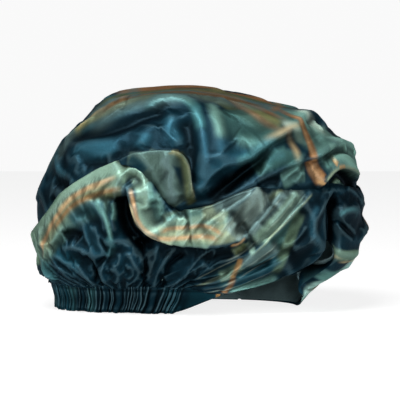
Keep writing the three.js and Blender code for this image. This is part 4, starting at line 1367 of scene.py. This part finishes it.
def satin(name, roughness):
    """Woven satin: printed colour, fine uneven weave, broad soft gloss."""
    material = bpy.data.materials.new(name)
    material.use_nodes = True
    tree = material.node_tree
    link = tree.links.new
    shader = tree.nodes["Principled BSDF"]
    shader.inputs["Specular IOR Level"].default_value = 0.2
    shader.inputs["Specular Tint"].default_value = (0.34, 0.74, 1.0, 1)
    shader.inputs["Anisotropic"].default_value = 0.55
    shader.inputs["Metallic"].default_value = 0.38

    place = node(tree, "ShaderNodeTexCoord")
    uneven = node(tree, "ShaderNodeTexNoise", Scale=800.0, Detail=3.0)
    link(place.outputs["Object"], uneven.inputs["Vector"])
    pattern = node(tree, "ShaderNodeVertexColor", layer_name="print")
    shades = node(tree, "ShaderNodeMapRange", To_Min=0.72, To_Max=1.28)
    link(uneven.outputs["Fac"], shades.inputs["Value"])
    varied = node(tree, "ShaderNodeVectorMath", operation="SCALE")
    link(pattern.outputs["Color"], varied.inputs[0])
    link(shades.outputs["Result"], varied.inputs["Scale"])
    link(varied.outputs["Vector"], shader.inputs["Base Color"])

    patches = node(tree, "ShaderNodeTexNoise", Scale=55.0, Detail=2.0)
    link(place.outputs["Object"], patches.inputs["Vector"])
    gloss = node(tree, "ShaderNodeMapRange", To_Min=roughness - 0.05, To_Max=roughness + 0.07)
    link(patches.outputs["Fac"], gloss.inputs["Value"])
    link(gloss.outputs["Result"], shader.inputs["Roughness"])

    weave_place = node(tree, "ShaderNodeUVMap", uv_map="cloth")
    weave = node(tree, "ShaderNodeTexWave", bands_direction="DIAGONAL", Scale=70.0, Distortion=2.5,
                 Detail=1.0)
    link(weave_place.outputs["UV"], weave.inputs["Vector"])
    slubs = node(tree, "ShaderNodeTexNoise", Scale=520.0, Detail=4.0)
    link(place.outputs["Object"], slubs.inputs["Vector"])
    fine = node(tree, "ShaderNodeBump", Strength=0.05, Distance=0.0002)
    link(weave.outputs["Fac"], fine.inputs["Height"])
    bump = node(tree, "ShaderNodeBump", Strength=0.4, Distance=0.0005)
    link(slubs.outputs["Fac"], bump.inputs["Height"])
    link(fine.outputs["Normal"], bump.inputs["Normal"])
    link(bump.outputs["Normal"], shader.inputs["Normal"])
    return material


# The scene


def dress():
    outer = satin("printed_satin", 0.43)
    inside = satin("lining_satin", 0.36)
    for make, nodes, slot, material in (
        (make_crown, ["crown"], "crown_satin", outer),
        (make_wrap, ["wrap_panel"], "wrap_satin", outer),
        (make_band, ["elastic_band"], "band_satin", outer),
        (make_lining, ["lining"], "lining_satin", inside),
    ):
        piece = make()
        piece.data.materials.append(material)
        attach(piece, "root")
        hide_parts(*nodes)


def area_light(name, place, target, size, power):
    light = bpy.data.lights.new(name, "AREA")
    light.shape = "RECTANGLE"
    light.size, light.size_y = size
    light.energy = power
    thing = bpy.data.objects.new(name, light)
    thing.location = place
    thing.rotation_euler = (Vector(target) - Vector(place)).to_track_quat("-Z", "Y").to_euler()
    thing.visible_camera = False
    bpy.context.collection.objects.link(thing)
    return thing


# How bright the floor and the backdrop look to the camera, and how bright they are as lights
FLOOR_SEEN, FLOOR_LIT = 0.81, 0.1
BACKDROP_SEEN, BACKDROP_LOW, BACKDROP_HIGH = 0.95, 0.22, 0.09


def set_stage():
    bpy.ops.mesh.primitive_plane_add(size=3, location=(0, 0, 0))
    floor = bpy.context.object
    floor.name = "floor"
    pale = bpy.data.materials.new("floor")
    pale.use_nodes = True
    shader = pale.node_tree.nodes["Principled BSDF"]
    shader.inputs["Base Color"].default_value = (0.3, 0.3, 0.3, 1)
    shader.inputs["Roughness"].default_value = 0.8
    shader.inputs["Emission Color"].default_value = (1, 1, 1, 1)
    glow = node(pale.node_tree, "ShaderNodeMapRange", To_Min=FLOOR_LIT, To_Max=FLOOR_SEEN)
    seen = node(pale.node_tree, "ShaderNodeLightPath")
    pale.node_tree.links.new(seen.outputs["Is Camera Ray"], glow.inputs["Value"])
    pale.node_tree.links.new(glow.outputs["Result"], shader.inputs["Emission Strength"])
    floor.data.materials.append(pale)
    # a white sweep below the horizon and a dimmer room above it
    world = bpy.data.worlds.new("studio")
    bpy.context.scene.world = world
    world.use_nodes = True
    tree = world.node_tree
    where = node(tree, "ShaderNodeTexCoord")
    split = node(tree, "ShaderNodeSeparateXYZ")
    tree.links.new(where.outputs["Generated"], split.inputs[0])
    level = node(tree, "ShaderNodeMapRange", interpolation_type="SMOOTHSTEP",
                 From_Max=0.25, To_Min=BACKDROP_LOW, To_Max=BACKDROP_HIGH)
    tree.links.new(split.outputs["Z"], level.inputs["Value"])
    backdrop = node(tree, "ShaderNodeMix", data_type="FLOAT")
    backdrop.inputs["B"].default_value = BACKDROP_SEEN
    seen = node(tree, "ShaderNodeLightPath")
    tree.links.new(seen.outputs["Is Camera Ray"], backdrop.inputs["Factor"])
    tree.links.new(level.outputs["Result"], backdrop.inputs["A"])
    tree.links.new(backdrop.outputs["Result"], tree.nodes["Background"].inputs["Strength"])
    tree.nodes["Background"].inputs["Color"].default_value = (1, 1, 1, 1)
    area_light("top_softbox", (-0.25, -0.55, 1.15), (0, 0, 0.08), (0.7, 0.5), 17)
    area_light("left_strip", (-1.3, -0.9, 0.5), (0, 0, 0.08), (0.25, 0.9), 7)
    area_light("right_strip", (1.3, -0.9, 0.55), (0, 0, 0.08), (0.25, 0.9), 7)
    area_light("low_fill", (0.35, -1.5, 0.12), (0.05, 0, 0.05), (0.3, 0.2), 5)
    # a small light under the raised hem, which lets the lining show
    low = area_light("hem_fill", (0.07, -0.088, 0.006), (0.05, 0.07, 0.02), (0.09, 0.008), 0.025)
    low.data.spread = math.radians(100)


PHOTO_WIDTH = 0.360  # metres across the photograph's 400 px
FRAME_CENTRE = (0.0, 96.3 * MM)  # where the frame's middle is: x, and height in the view
CAMERA_DISTANCE = 4.5
SENSOR_WIDTH = 36


def place_camera():
    camera = bpy.data.cameras.new("camera")
    camera.sensor_width = SENSOR_WIDTH
    camera.lens = SENSOR_WIDTH * CAMERA_DISTANCE / PHOTO_WIDTH
    camera.clip_end = 60
    thing = bpy.data.objects.new("camera", camera)
    bpy.context.collection.objects.link(thing)
    toward = Vector((0, -COS_E, SIN_E))
    up = Vector((0, SIN_E, COS_E))
    aim = Vector((FRAME_CENTRE[0], 0, 0)) + up * FRAME_CENTRE[1]
    thing.location = aim + toward * CAMERA_DISTANCE
    thing.rotation_euler = (-toward).to_track_quat("-Z", "Y").to_euler()
    bpy.context.scene.camera = thing


dress()
set_stage()
place_camera()
bpy.context.scene.view_settings.view_transform = "Standard"
